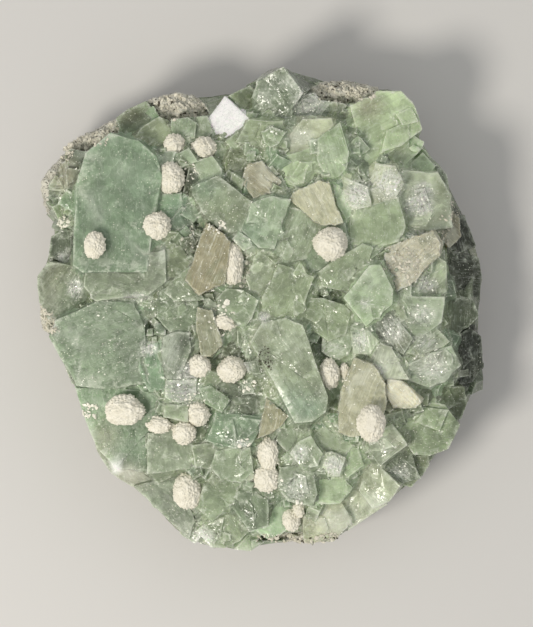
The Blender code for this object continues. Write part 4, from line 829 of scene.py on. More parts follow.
def growth_plates():
    """Low overlapping plates that each broad face is built of."""
    out = []
    for i, (name, outline, rise, lx, ly, depth, tone) in enumerate(CRYSTALS):
        pts = [world(p) for p in outline]
        area = 0.0
        for j in range(len(pts)):
            a, b = pts[j], pts[(j + 1) % len(pts)]
            area += 0.5 * (a[0] * b[1] - b[0] * a[1])
        area = abs(area)
        cx = sum(p[0] for p in pts) / len(pts)
        cy = sum(p[1] for p in pts) / len(pts)
        top = dome(cx, cy) + rise
        if tone == 7:
            continue
        number = int(min(5, max(1, area / 38.0)))
        if name in SMOOTH:
            number = min(number, SMOOTH[name])
        xs, ys = [p[0] for p in pts], [p[1] for p in pts]
        for k in range(number):
            for attempt in range(12):
                x = min(xs) + (max(xs) - min(xs)) * hash01(71, i, k, attempt)
                y = min(ys) + (max(ys) - min(ys)) * hash01(72, i, k, attempt)
                if inside(np.array([x]), np.array([y]), pts)[0] \
                        and not near_ball(x / UNIT + CX, CY - y / UNIT, 3.0):
                    break
            else:
                continue
            size = math.sqrt(area) * (0.18 + 0.30 * hash01(73, i, k)) * (1.0 if area < 150 else 0.8)
            tilt = 0.05 + 0.10 * hash01(74, i, k)
            az = 2 * math.pi * hash01(75, i, k)
            nx, ny = lx + tilt * math.cos(az), ly + tilt * math.sin(az)
            base = top - (lx * (x - cx) + ly * (y - cy))
            lift = -0.25 + 0.45 * hash01(76, i, k)
            corners = 4 + int(3 * hash01(77, i, k))
            turn = 2 * math.pi * hash01(78, i, k)
            stretch = 0.6 + 0.8 * hash01(79, i, k)
            face = []
            for c in range(corners):
                a = turn + 2 * math.pi * (c + 0.35 * (hash01(80, i, k, c) - 0.5)) / corners
                rr = size * (0.8 + 0.4 * hash01(81, i, k, c))
                dx, dy = rr * math.cos(a) * stretch, rr * math.sin(a) / stretch
                for shrink in (1.0, 0.75, 0.5, 0.3):
                    if inside(np.array([x + dx * shrink]), np.array([y + dy * shrink]), pts)[0]:
                        break
                dx, dy = dx * shrink, dy * shrink
                face.append(Vector((x + dx, y + dy, base + lift - nx * dx - ny * dy)))
            n = Vector((nx, ny, 1.0)).normalized()
            mid = sum(face, Vector()) / len(face)
            back = [mid + (f - mid) * 1.12 - n * 3.5 for f in face]
            along = (math.cos(turn), math.sin(turn), 0.0)
            b = Block(face + back, (nx, ny, 1.0), along, tone, STRIPED.get(name, 0.08),
                      2000 + 37 * i + k, name)
            b.parent = i
            out.append(b)
    return out


def crystal_blocks():
    blocks = []
    for i, (name, outline, rise, lx, ly, depth, tone) in enumerate(CRYSTALS):
        face, back = prism_points(plain_outline(outline, 165.0), rise, lx, ly, depth)
        along = longest_edge(outline)
        blocks.append(Block(face + back, (lx, ly, 1.0), along, tone,
                            STRIPED.get(name, 0.08), i, name))
    blocks += growth_plates()
    # blocks that stand out around the sides
    for ring, (count, low, high, small, big) in enumerate(
            ((24, 17.5, 23.5, 4.2, 7.2), (56, 14.5, 30.0, 2.0, 3.8))):
        for i in range(count):
            s = 3 if ring == 0 else 103
            a = 2 * math.pi * (i + 0.3 * hash01(s, i)) / count
            ux, uy = math.cos(a), math.sin(a)
            e = edge_radius(ux, uy)
            size = small + (big - small) * hash01(s + 2, i)
            z = low + (high - low) * hash01(s + 6, i)
            lean = math.radians(52 + 26 * hash01(s + 8, i))
            if ring:
                z = min(z, dome(ux * e * 0.97, uy * e * 0.97) - 1.0)
                lean = math.radians(35 + 50 * hash01(s + 8, i))
            n = Vector((ux * math.sin(lean), uy * math.sin(lean), math.cos(lean)))
            side = Vector((-uy, ux, 0.0))
            up = n.cross(side).normalized()
            turn = math.radians(90 * hash01(s + 10, i))
            s1 = side * math.cos(turn) + up * math.sin(turn)
            s2 = n.cross(s1)
            c = Vector((ux * (e - 1.2), uy * (e - 1.2), z))
            face, back = [], []
            for k, (p, q) in enumerate(((-1, -1), (1, -1), (1, 1), (-1, 1))):
                w = size * (0.8 + 0.4 * hash01(s + 14, i, k))
                f = c + s1 * p * w + s2 * q * size
                r = math.hypot(f.x, f.y)
                lim = edge_radius(f.x, f.y) - 0.1
                if r > lim:
                    f.x *= lim / r
                    f.y *= lim / r
                face.append(f)
                b = f - n * (13.0 if ring == 0 else 8.0)
                b.z = max(b.z, 4.0)
                back.append(b)
            tone = (0, 3, 1, 6, 5, 0, 4)[int(7 * hash01(s + 20, i)) % 7]
            blocks.append(Block(face + back, n, s1, tone, 0.3, 500 + 100 * ring + i, None))
    # fan of clear crystals at the left rim
    fx, fy = world((66, 188))
    for i in range(9):
        a = math.radians(98 + 21 * i)
        ux, uy = math.cos(a), math.sin(a)
        far = 8.6 + 1.2 * hash01(91, i)
        w0, w1 = 0.7, 2.1 + 0.5 * hash01(92, i)
        face = []
        for d, w in ((-1.0, w0), (-1.0, -w0), (far, -w1), (far, w1)):
            x, y = fx + ux * d - uy * w, fy + uy * d + ux * w
            r, e = math.hypot(x, y), edge_radius(x, y) - 0.15
            if r > e:
                x, y = x * e / r, y * e / r
            face.append(Vector((x, y, dome(x, y) - 0.9 + 1.3 * hash01(93, i) + (0.6 if d > 0 else 0.0))))
        n = (face[1] - face[0]).cross(face[3] - face[0])
        n = n.normalized() if n.z > 0 else -n.normalized()
        back = [f - n * 8.0 for f in face]
        blocks.append(Block(face + back, n, (ux, uy, 0.0), 3, 1.0, 700 + i, None))
    # small blocks that fill the gaps between the large ones
    named = [b[1] for b in CRYSTALS]
    made = 0
    for i in range(5200):
        if made >= (430):
            break
        x = -70 + 140 * hash01(31, i)
        y = -78 + 156 * hash01(32, i)
        r = math.hypot(x, y)
        if r > edge_radius(x, y) - 2.5:
            continue
        qx, qy = np.array([x / UNIT + CX]), np.array([CY - y / UNIT])
        if any(inside(qx, qy, o)[0] for o in named):
            continue
        if near_ball(qx[0], qy[0], 1.5):
            continue
        size = 0.9 + 2.0 * hash01(33, i) ** 1.6
        lean = math.radians(6 + 34 * hash01(34, i))
        az = 2 * math.pi * hash01(35, i)
        n = Vector((math.cos(az) * math.sin(lean), math.sin(az) * math.sin(lean), math.cos(lean)))
        t = Vector((math.cos(7 * az), math.sin(7 * az), 0.0))
        s1 = (t - n * t.dot(n)).normalized()
        s2 = n.cross(s1)
        c = Vector((x, y, dome(x, y) - 1.3 + 2.1 * hash01(36, i)))
        face, back = [], []
        for k, (p, q) in enumerate(((-1, -1), (1, -1), (1, 1), (-1, 1))):
            w = size * (0.75 + 0.5 * hash01(37, i, k))
            f = c + s1 * p * w + s2 * q * size * (0.8 + 0.3 * hash01(38, i, k))
            r = math.hypot(f.x, f.y)
            lim = edge_radius(f.x, f.y) - 0.1
            if r > lim:
                f.x *= lim / r
                f.y *= lim / r
            face.append(f)
            back.append(f - n * 9.0)
        tone = (3, 0, 3, 5, 4, 1, 0)[int(7 * hash01(39, i)) % 7]
        blocks.append(Block(face + back, n, s1, tone, 0.2, 800 + i, None))
        made += 1
    return blocks


def loft_core():
    """The mass behind the crystals, as the solid model has it."""
    def ring_at(scale, z, jitter, seed, count=28):
        ring = []
        for i in range(count):
            a = 2 * math.pi * (i + 0.5) / count
            x, y = math.cos(a), math.sin(a)
            e = edge_radius(x, y) * scale
            dz = (hash01(seed, i) - 0.5) * 2 * jitter
            e *= 1.0 - 0.03 * hash01(seed + 7, i) * (1 if scale < 0.99 else 0)
            ring.append((x * e, y * e, z + dz))
        return ring
    rings = [ring_at(0.99, 6.0, 0.0, 4), ring_at(1.0, 17.5, 2.0, 5),
             ring_at(0.985, 24.0, 1.6, 6), ring_at(0.93, 30.2, 1.2, 7),
             ring_at(0.80, 37.2, 0.9, 8), ring_at(0.55, 41.2, 0.8, 9)]
    for ring in rings[3:]:
        for i, (x, y, z) in enumerate(ring):
            ring[i] = (x, y, min(z + 0.7, dome(x, y) - 1.4))
    bm = bmesh.new()
    rows = [[bm.verts.new((p[0] + SHIFT[0], p[1] + SHIFT[1], p[2] + SHIFT[2])) for p in r]
            for r in rings]
    n = len(rows[0])
    for a, b in zip(rows, rows[1:]):
        for i in range(n):
            bm.faces.new((a[i], a[(i + 1) % n], b[(i + 1) % n], b[i]))
    bm.faces.new(list(reversed(rows[0])))
    c = bm.verts.new((SHIFT[0], SHIFT[1], 43.2 + SHIFT[2]))
    for i in range(n):
        bm.faces.new((c, rows[-1][i], rows[-1][(i + 1) % n]))
    bmesh.ops.recalc_face_normals(bm, faces=bm.faces)
    bmesh.ops.triangulate(bm, faces=bm.faces)
    mesh = bpy.data.meshes.new("core")
    bm.to_mesh(mesh)
    bm.free()
    obj = bpy.data.objects.new("core", mesh)
    bpy.context.scene.collection.objects.link(obj)
    return obj


def slab_below(lift, low):
    """Everything below the seat surface, as a closed block."""
    cell, reach = 20.0, 100.0
    first = int((200.0 - reach) // cell)
    last = int((200.0 + reach) // cell) + 1
    n = last - first + 1
    bm = bmesh.new()
    grid = []
    for j in range(n):
        for i in range(n):
            x, y = (first + i) * cell - 200.0, (first + j) * cell - 200.0
            grid.append(bm.verts.new((x + SHIFT[0], y + SHIFT[1],
                                      seat(x + 1e-6, y + 1e-6) + lift + SHIFT[2])))
    ring = [grid[i] for i in range(n)] + [grid[j * n + n - 1] for j in range(1, n)] \
        + [grid[(n - 1) * n + i] for i in reversed(range(n - 1))] \
        + [grid[j * n] for j in reversed(range(1, n - 1))]
    foot = [bm.verts.new((v.co.x, v.co.y, low)) for v in ring]
    for j in range(n - 1):
        for i in range(n - 1):
            a, b = grid[j * n + i], grid[j * n + i + 1]
            c, d = grid[(j + 1) * n + i + 1], grid[(j + 1) * n + i]
            bm.faces.new((a, b, c))
            bm.faces.new((a, c, d))
    m = len(ring)
    for i in range(m):
        bm.faces.new((ring[i], foot[i], foot[(i + 1) % m], ring[(i + 1) % m]))
    bm.faces.new(list(reversed(foot)))
    bmesh.ops.recalc_face_normals(bm, faces=bm.faces)
    bmesh.ops.triangulate(bm, faces=bm.faces)
    mesh = bpy.data.meshes.new("slab")
    bm.to_mesh(mesh)
    bm.free()
    obj = bpy.data.objects.new("slab", mesh)
    bpy.context.scene.collection.objects.link(obj)
    return obj


def hull_planes(obj):
    """Unit normals and offsets of a convex solid's planes."""
    v, t = mesh_arrays(obj)
    n, area = face_normals(v, t)
    ok = area > 1e-4
    n, t = n[ok], t[ok]
    d = np.einsum("ij,ij->i", n, v[t[:, 0]])
    return n, d


def owner_of(verts, tris, blocks, planes):
    """Which crystal each triangle's surface belongs to (-1: the core)."""
    cen = verts[tris].mean(axis=1)
    nrm, _ = face_normals(verts, tris)
    owner = np.full(len(tris), -1)
    best = np.full(len(tris), 0.02)
    for k, (b, (pn, pd)) in enumerate(zip(blocks, planes)):
        pts = np.array([list(p) for p in b.points])
        lo, hi = pts.min(0) - 0.1, pts.max(0) + 0.1
        idx = np.nonzero(((cen > lo) & (cen < hi)).all(axis=1))[0]
        if not len(idx):
            continue
        dist = cen[idx] @ pn.T - pd
        top = dist.max(axis=1)
        which = dist.argmax(axis=1)
        same = np.einsum("ij,ij->i", nrm[idx], pn[which]) > 0.995
        ok = (np.abs(top) < best[idx]) & same
        owner[idx[ok]] = k
        best[idx[ok]] = np.abs(top[ok])
    return owner


def spread_disc(grid, radius, low, pick):
    """Largest (or smallest) neighbour value within a disc, for every node."""
    k = int(radius)
    padded = np.full((grid.shape[0] + 2 * k, grid.shape[1] + 2 * k), low)
    padded[k:-k, k:-k] = grid
    out = grid.copy()
    for j in range(-k, k + 1):
        for i in range(-k, k + 1):
            if i * i + j * j <= radius * radius:
                out = pick(out, padded[k + j:k + j + grid.shape[0], k + i:k + i + grid.shape[1]])
    return out


def gap_fill(obj):
    """Crystal grown in the narrow gaps: a low surface just under the tops around."""
    v, t = mesh_arrays(obj)
    tree = BVHTree.FromPolygons([tuple(p) for p in v], [tuple(int(i) for i in q) for q in t])
    step = 0.95
    nx, ny = int(150 / step), int(162 / step)
    xs = SHIFT[0] - 75 + step * np.arange(nx)
    ys = SHIFT[1] - 81 + step * np.arange(ny)
    height = np.zeros((ny, nx))
    ok = np.zeros((ny, nx), bool)
    room = np.zeros((ny, nx))
    for j in range(ny):
        for i in range(nx):
            x, y = xs[i], ys[j]
            e = edge_radius(x - SHIFT[0], y - SHIFT[1]) - math.hypot(x - SHIFT[0], y - SHIFT[1])
            if e < 0.5:
                continue
            hit = tree.ray_cast(Vector((x, y, 200.0)), Vector((0, 0, -1)))[0]
            if hit is None:
                continue
            height[j, i] = hit.z
            room[j, i] = e
            ok[j, i] = e > 2.6
    k = 2.6 / step
    closed = spread_disc(spread_disc(height, k, 0.0, np.maximum), k, 99.0, np.minimum)
    for _ in range(2):
        pad = np.pad(closed, 1, mode="edge")
        closed = (pad[1:-1, 1:-1] * 4 + 2 * (pad[:-2, 1:-1] + pad[2:, 1:-1] + pad[1:-1, :-2] + pad[1:-1, 2:])
                  + pad[:-2, :-2] + pad[:-2, 2:] + pad[2:, :-2] + pad[2:, 2:]) / 16.0
    gx, gy = np.meshgrid(xs, ys)
    flat = np.stack([gx.ravel(), gy.ravel(), gx.ravel() * 0], 1)
    wave = (fbm(flat * 0.35, 3, 201) - 0.5).reshape(ny, nx)
    bits, tone = worley(flat * 0.55, 203)
    bits, tone = bits.reshape(ny, nx), tone.reshape(ny, nx)
    px, py = px_of(flat)
    hollow = patch_mask(px, py, HOLLOWS).reshape(ny, nx)
    fill = closed - 0.50 + 0.7 * wave + 0.6 * (tone - 0.5) - 4.5 * hollow
    rim = np.clip((7.0 - room) / 4.0, 0, 1)
    fill -= 11.0 * rim * rim * (3 - 2 * rim)
    fill = np.maximum(fill, SHIFT[2] + 14.0)
    bm = bmesh.new()
    top, foot = {}, {}

    def node(store, i, j, z):
        if (i, j) not in store:
            store[(i, j)] = bm.verts.new((xs[i], ys[j], z))
        return store[(i, j)]
    cells = {(i, j) for j in range(ny - 1) for i in range(nx - 1)
             if ok[j, i] and ok[j, i + 1] and ok[j + 1, i] and ok[j + 1, i + 1]}
    low = SHIFT[2] + 8.0
    for i, j in sorted(cells):
        q = [(i, j), (i + 1, j), (i + 1, j + 1), (i, j + 1)]
        a = [node(top, m, n, fill[n, m]) for m, n in q]
        b = [node(foot, m, n, low) for m, n in q]
        bm.faces.new((a[0], a[1], a[2]))
        bm.faces.new((a[0], a[2], a[3]))
        bm.faces.new((b[2], b[1], b[0]))
        bm.faces.new((b[3], b[2], b[0]))
        for k1, (di, dj) in enumerate(((0, -1), (1, 0), (0, 1), (-1, 0))):
            if (i + di, j + dj) not in cells:
                k2 = (k1 + 1) % 4
                bm.faces.new((a[k1], b[k1], b[k2]))
                bm.faces.new((a[k1], b[k2], a[k2]))
    mesh = bpy.data.meshes.new("fill")
    bm.to_mesh(mesh)
    bm.free()
    out = bpy.data.objects.new("fill", mesh)
    bpy.context.scene.collection.objects.link(out)
    return out


def crystal_mass():
    blocks = crystal_blocks()
    core = loft_core()
    solids = [hull_mesh(b.points, bevel=0.16 if b.named else 0.10) for b in blocks]
    planes = [hull_planes(o) for o in solids]
    boolean(core, solids, "UNION")
    drop(solids)
    filler = gap_fill(core)
    boolean(core, [filler], "UNION")
    drop([filler])
    cutters = [slab_below(0.33, -20.0)]
    for k, (outline, top) in enumerate(LUMPS):
        if k < 2:
            continue
        pts = [world(p) for p in outline]
        cx = sum(p[0] for p in pts) / len(pts)
        cy = sum(p[1] for p in pts) / len(pts)
        points = []
        for j, (x, y) in enumerate(pts):
            x, y = cx + (x - cx) * 0.97, cy + (y - cy) * 0.97
            points.append(Vector((x, y, top + 14.0)) + Vector(SHIFT))
            points.append(Vector((x, y, 7.0)) + Vector(SHIFT))
        cutters.append(hull_mesh(points))
    boolean(core, cutters, "DIFFERENCE")
    drop(cutters)
    v, t = mesh_arrays(core)
    v, t = biggest_body(v, t)
    drop([core])
    owner = owner_of(v, t, blocks, planes)
    return v, t, owner, blocks


def dress_crystals(v, t, owner, blocks):
    """Refine, roughen and colour the crystal mass."""
    zfloor = 15.0
    limit_top = LIMIT_TOP

    def longest(mid):
        size = np.where(mid[:, 2] > 27.0, limit_top, np.where(mid[:, 2] > zfloor, limit_top * 1.4, 4.0))
        mx, my = px_of(mid)
        fine = (patch_mask(mx, my, SPARKLES) > 0.3) & (mid[:, 2] > 27.0) & (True)
        return np.where(fine, 0.58, size)
    v, t, parent = refine(v, t, longest, 190000)
    ok = clean_tris(t)
    t, parent = t[ok], parent[ok]
    print("crystal triangles", len(t), "of", len(owner), "quick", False)
    own = owner[parent]
    fn, area = face_normals(v, t)
    # filled gaps take the looks of the nearest crystal
    look = own.copy()
    cen = v[t].mean(axis=1)
    have = np.nonzero(own >= 0)[0][::2]
    tree = KDTree(len(have))
    for i, k in enumerate(have):
        tree.insert(cen[k], i)
    tree.balance()
    for k in np.nonzero((own < 0) & (cen[:, 2] > 18.0))[0]:
        look[k] = own[have[tree.find(cen[k])[1]]]

    # axes and facts for every triangle's crystal
    count = len(blocks)
    U = np.array([b.u for b in blocks] + [[1.0, 0, 0]])
    V = np.array([b.v for b in blocks] + [[0, 1.0, 0]])
    N = np.array([b.n for b in blocks] + [[0, 0, 1.0]])
    C = np.array([b.centre for b in blocks] + [[0, 0, 0.0]])
    STR = np.array([b.stripes for b in blocks] + [0.1])
    SEED = np.array([b.seed for b in blocks] + [999])
    TONE = np.array([b.tone for b in blocks] + [5])

    # vertices on a border between crystals or at a sharp edge stay in place
    lockv = np.zeros(len(v), bool)
    e = np.concatenate([t[:, [0, 1]], t[:, [1, 2]], t[:, [2, 0]]])
    f = np.tile(np.arange(len(t)), 3)
    key = np.sort(e, axis=1)
    order = np.lexsort((key[:, 1], key[:, 0]))
    ks, fs = key[order], f[order]
    pair = (ks[1:] == ks[:-1]).all(axis=1)
    a, b = fs[:-1][pair], fs[1:][pair]
    ed = ks[:-1][pair]
    dots = np.einsum("ij,ij->i", fn[a], fn[b])
    hard = (own[a] != own[b]) | (dots < 0.97)
    lockv[ed[hard].ravel()] = True
    outward = np.einsum("ij,ij->i", cen[b] - cen[a], fn[a]) < -1e-3
    ridgev = np.zeros(len(v), bool)
    ridgev[ed[(dots < 0.93) & outward].ravel()] = True
    # distance in rings from a locked vertex, and from an outward edge
    free = np.where(lockv, 0.0, 9.0)
    ridge_free = np.where(ridgev, 0.0, 9.0)
    uniq = np.unique(ks, axis=0)
    el = np.linalg.norm(v[uniq[:, 0]] - v[uniq[:, 1]], axis=1)
    for _ in range(5):
        d0 = free[uniq[:, 0]] + el
        d1 = free[uniq[:, 1]] + el
        np.minimum.at(free, uniq[:, 1], d0)
        np.minimum.at(free, uniq[:, 0], d1)
        r0, r1 = ridge_free[uniq[:, 0]] + el, ridge_free[uniq[:, 1]] + el
        np.minimum.at(ridge_free, uniq[:, 1], r0)
        np.minimum.at(ridge_free, uniq[:, 0], r1)

    # one crystal for each vertex (any face that touches it)
    vown = np.full(len(v), -1)
    vlook = np.full(len(v), -1)
    for k in range(3):
        vown[t[:, k]] = own
        vlook[t[:, k]] = look
    vn = vertex_normals(v, t)
    rel = v - C[vown]
    lu = np.einsum("ij,ij->i", rel, U[vown])
    lv = np.einsum("ij,ij->i", rel, V[vown])
    ln = np.einsum("ij,ij->i", rel, N[vown])
    off = SEED[vown][:, None] * np.array([[3.1, 5.7, 9.3]])
    top = np.clip((np.einsum("ij,ij->i", vn, N[vown]) - 0.8) / 0.15, 0, 1)
    local = np.stack([lu, lv, ln], axis=1) + off
    # growth hillocks, curved ridges and steps on the broad faces
    warp = np.stack([fbm(local * 0.11, 2, 41), fbm(local * 0.11 + 7.7, 2, 42), local[:, 2] * 0], 1) - 0.5
    big = fbm(local * np.array([[0.15, 0.19, 0.15]]) + warp * 1.5, 3, 5) - 0.5
    ridge = 1.0 - np.abs(2.0 * noise3(local * np.array([[0.16, 0.27, 0.16]]) + warp * 3.0, 6) - 1.0)
    ridge = ridge ** 3
    steps = np.floor(fbm(local * np.array([[0.12, 0.24, 0.1]]) + warp * 2.0, 2, 9) * 9.0) / 9.0 - 0.5
    w1, cellv = worley(local * 0.42 + warp, 43)
    small = fbm(local * 0.9, 3, 11) - 0.5
    stripes = fbm(np.stack([local[:, 0] * 0.05, local[:, 1] * 1.4, local[:, 2] * 1.4], 1), 3, 13) - 0.5
    side = fbm(np.stack([local[:, 0] * 1.2, local[:, 1] * 1.2, local[:, 2] * 0.06], 1), 3, 15) - 0.5
    named = np.array([1.0 if b.named else 0.6 for b in blocks] + [0.6])[vown]
    h = top * (0.55 * big + 0.15 * (ridge - 0.2) + 0.6 * steps + 0.12 * (cellv - 0.5) * (w1 < 0.6)
               + 0.12 * small + 0.6 * STR[vown] * stripes) \
        + (1 - top) * (0.25 * big + 0.15 * small + 0.3 * side)
    core = vown < 0
    w2, cell2 = worley(v * 0.42, 47)
    rough = 0.6 * (fbm(v * 0.45, 4, 21) - 0.5) + 0.35 * (0.55 - w2) + 0.45 * (cell2 - 0.5)
    h = np.where(core, rough, h * named)
    sx, sy = px_of(v)
    glitter = patch_mask(sx, sy, SPARKLES) * np.clip((v[:, 2] - 24) / 6, 0, 1)
    w3, cell3 = worley(v * 1.05, 48)
    h = h + glitter * (0.28 * (0.5 - w3) + 0.22 * (cell3 - 0.5))
    ease = np.clip(0.25 + free / 1.2, 0, 1)
    ease = ease * ease * (3 - 2 * ease)
    v = v + vn * (h * ease)[:, None]
    # the whole mass is slightly warped, so that no edge is ruler straight
    for wave, amount, sd in ((0.12, 1.0, 61), (0.5, 0.30, 64), (1.3, 0.13, 67)):
        drift = np.stack([fbm(v * wave, 2, sd + j) for j in range(3)], 1) - 0.5
        drift[:, 2] *= 0.8
        v = v + drift * amount
    # small chips along the hard edges
    chip = np.clip(fbm(v * 0.55, 3, 33) - 0.58, 0, 1) * np.clip(1 - ridge_free / 0.8, 0, 1)
    v = v - vn * (chip * 2.2)[:, None]

    # keep inside the solid model's box
    lo = np.array(CAD_LO) * 1000 + 0.02
    hi = np.array(CAD_HI) * 1000 - 0.02
    v = np.minimum(np.maximum(v, lo), hi)

    obj = make_piece("crystals", v, t, True, 24)
    corner_v = t.reshape(-1)
    corner_own = np.repeat(look, 3)
    # crystal coordinates at each corner, as the grain of the material
    rel = v[corner_v] - C[corner_own]
    grain = np.stack([np.einsum("ij,ij->i", rel, U[corner_own]),
                      np.einsum("ij,ij->i", rel, V[corner_own]),
                      np.einsum("ij,ij->i", rel, N[corner_own])], 1)
    grain += SEED[corner_own][:, None] * np.array([[3.1, 5.7, 9.3]])
    attr = obj.data.attributes.new("grain", "FLOAT_VECTOR", "CORNER")
    attr.data.foreach_set("vector", grain.astype(np.float32).ravel())

    # trim: the brightness factors, partly painted light and painted shade
    trim = np.array([BRIGHT.get(b.named, 1.0) for b in blocks] + [1.0])
    colours = np.array([TONES[k][0] for k in range(8)])
    clears = np.array([TONES[k][1] for k in range(8)])
    family = np.array([getattr(b, "parent", b.seed) for b in blocks] + [999])
    rnd = np.array([[hash01(51, s), hash01(52, s), hash01(53, s)] for s in family]) - 0.5
    own_rnd = np.array([hash01(54, s) for s in SEED]) - 0.5
    tint = colours[TONE] * (1.0 + rnd * np.array([[0.07, 0.04, 0.08]])) * (1.0 + 0.08 * rnd[:, :1]) \
        * (1.0 + 0.06 * own_rnd[:, None]) * trim[:, None] * np.array([[0.97, 1.01, 0.93]])
    clear = clears[TONE] * (1.0 + 0.5 * rnd[:, 1])
    px, py = px_of(v)
    # painted shade: colour darkened in the listed hollows between crystals
    dark = patch_mask(px, py, HOLLOWS) * np.clip((v[:, 2] - 20) / 6, 0, 1)
    depth = np.clip((np.array([dome(x - SHIFT[0], y - SHIFT[1]) for x, y in v[:, :2]]) - (v[:, 2] - SHIFT[2])) / 9.0, 0, 1)
    # colour zoning inside each crystal
    zdir = np.array([[math.cos(6.28 * hash01(57, s)), math.sin(6.28 * hash01(57, s))] for s in SEED])
    size = np.array([max(2.0, float(np.ptp(np.array([list(p) for p in b.points])[:, :2], axis=0).max()))
                     for b in blocks] + [140.0])
    rel = v[corner_v] - C[corner_own]
    zone = (rel[:, 0] * zdir[corner_own, 0] + rel[:, 1] * zdir[corner_own, 1]) / size[corner_own]
    col = tint[corner_own] * (1.0 - 0.30 * dark[corner_v] + 0.30 * np.clip(zone, -0.6, 0.6))[:, None]
    # painted shade: deeper parts are greener and darker
    deep = depth[corner_v][:, None]
    col = col * (1 - deep * np.array([[0.12, 0.07, 0.14]]))
    cpx, cpy = px[corner_v], py[corner_v]
    # body colour patches, some of them painted light or painted shade
    for x, y, a, b, colour, share in SHADES:
        amount = patch_mask(cpx, cpy, [(x, y, a, b, share)])[:, None]
        col = col * (1 - amount) + srgb(*colour) * amount
    # painted shade: the right and left rims of the plate darkened, as if turned away from the light
    side = 0.50 * np.clip((cpx - 446) / 14, 0, 1) + 0.16 * np.clip((62 - cpx) / 14, 0, 1)
    col = col * (1 - side)[:, None]
    rgba = np.concatenate([col, np.ones((len(col), 1))], 1)
    corner_colour(obj, "tint", rgba)
    upper = np.clip((v[:, 2] - 24) / 6, 0, 1)
    spark = patch_mask(px, py, SPARKLES) * upper
    veil = patch_mask(px, py, VEILS) * upper
    mask = np.stack([spark[corner_v], STR[corner_own], veil[corner_v],
                     clear[corner_own] * (1 - 0.5 * veil[corner_v])], 1)
    corner_colour(obj, "mask", mask)
    # pale lines along the upper edges are a painted highlight in the crystal material
    edge = np.clip(1 - ridge_free / 0.55, 0, 1)
    open_edge = edge * np.clip((v[:, 2] - 22) / 6, 0, 1)
    # mirror faces: painted reflection, near white in the crystal material
    mirror = np.where(TONE[corner_own] == 7, 1.0, 0.0)
    mirror = np.maximum(mirror, patch_mask(px, py, MIRRORS)[corner_v])
    dull = np.array([1.0 if b.named in DULL else 0.0 for b in blocks] + [0.0])[corner_own]
    dull = np.maximum(dull, 0.8 * np.clip((cpy - 380) / 30, 0, 1) * np.clip((200 - cpx) / 30, 0, 1))
    corner_colour(obj, "edge", np.stack([open_edge[corner_v], mirror, dull * (1 - spark[corner_v]),
                                         np.ones(len(corner_v))], 1))
    brink = v[ridgev & (v[:, 2] > 27.0) & (vn[:, 2] > 0.3)]
    return obj, BVHTree.FromPolygons([tuple(p) for p in v], [tuple(int(i) for i in q) for q in t]), brink


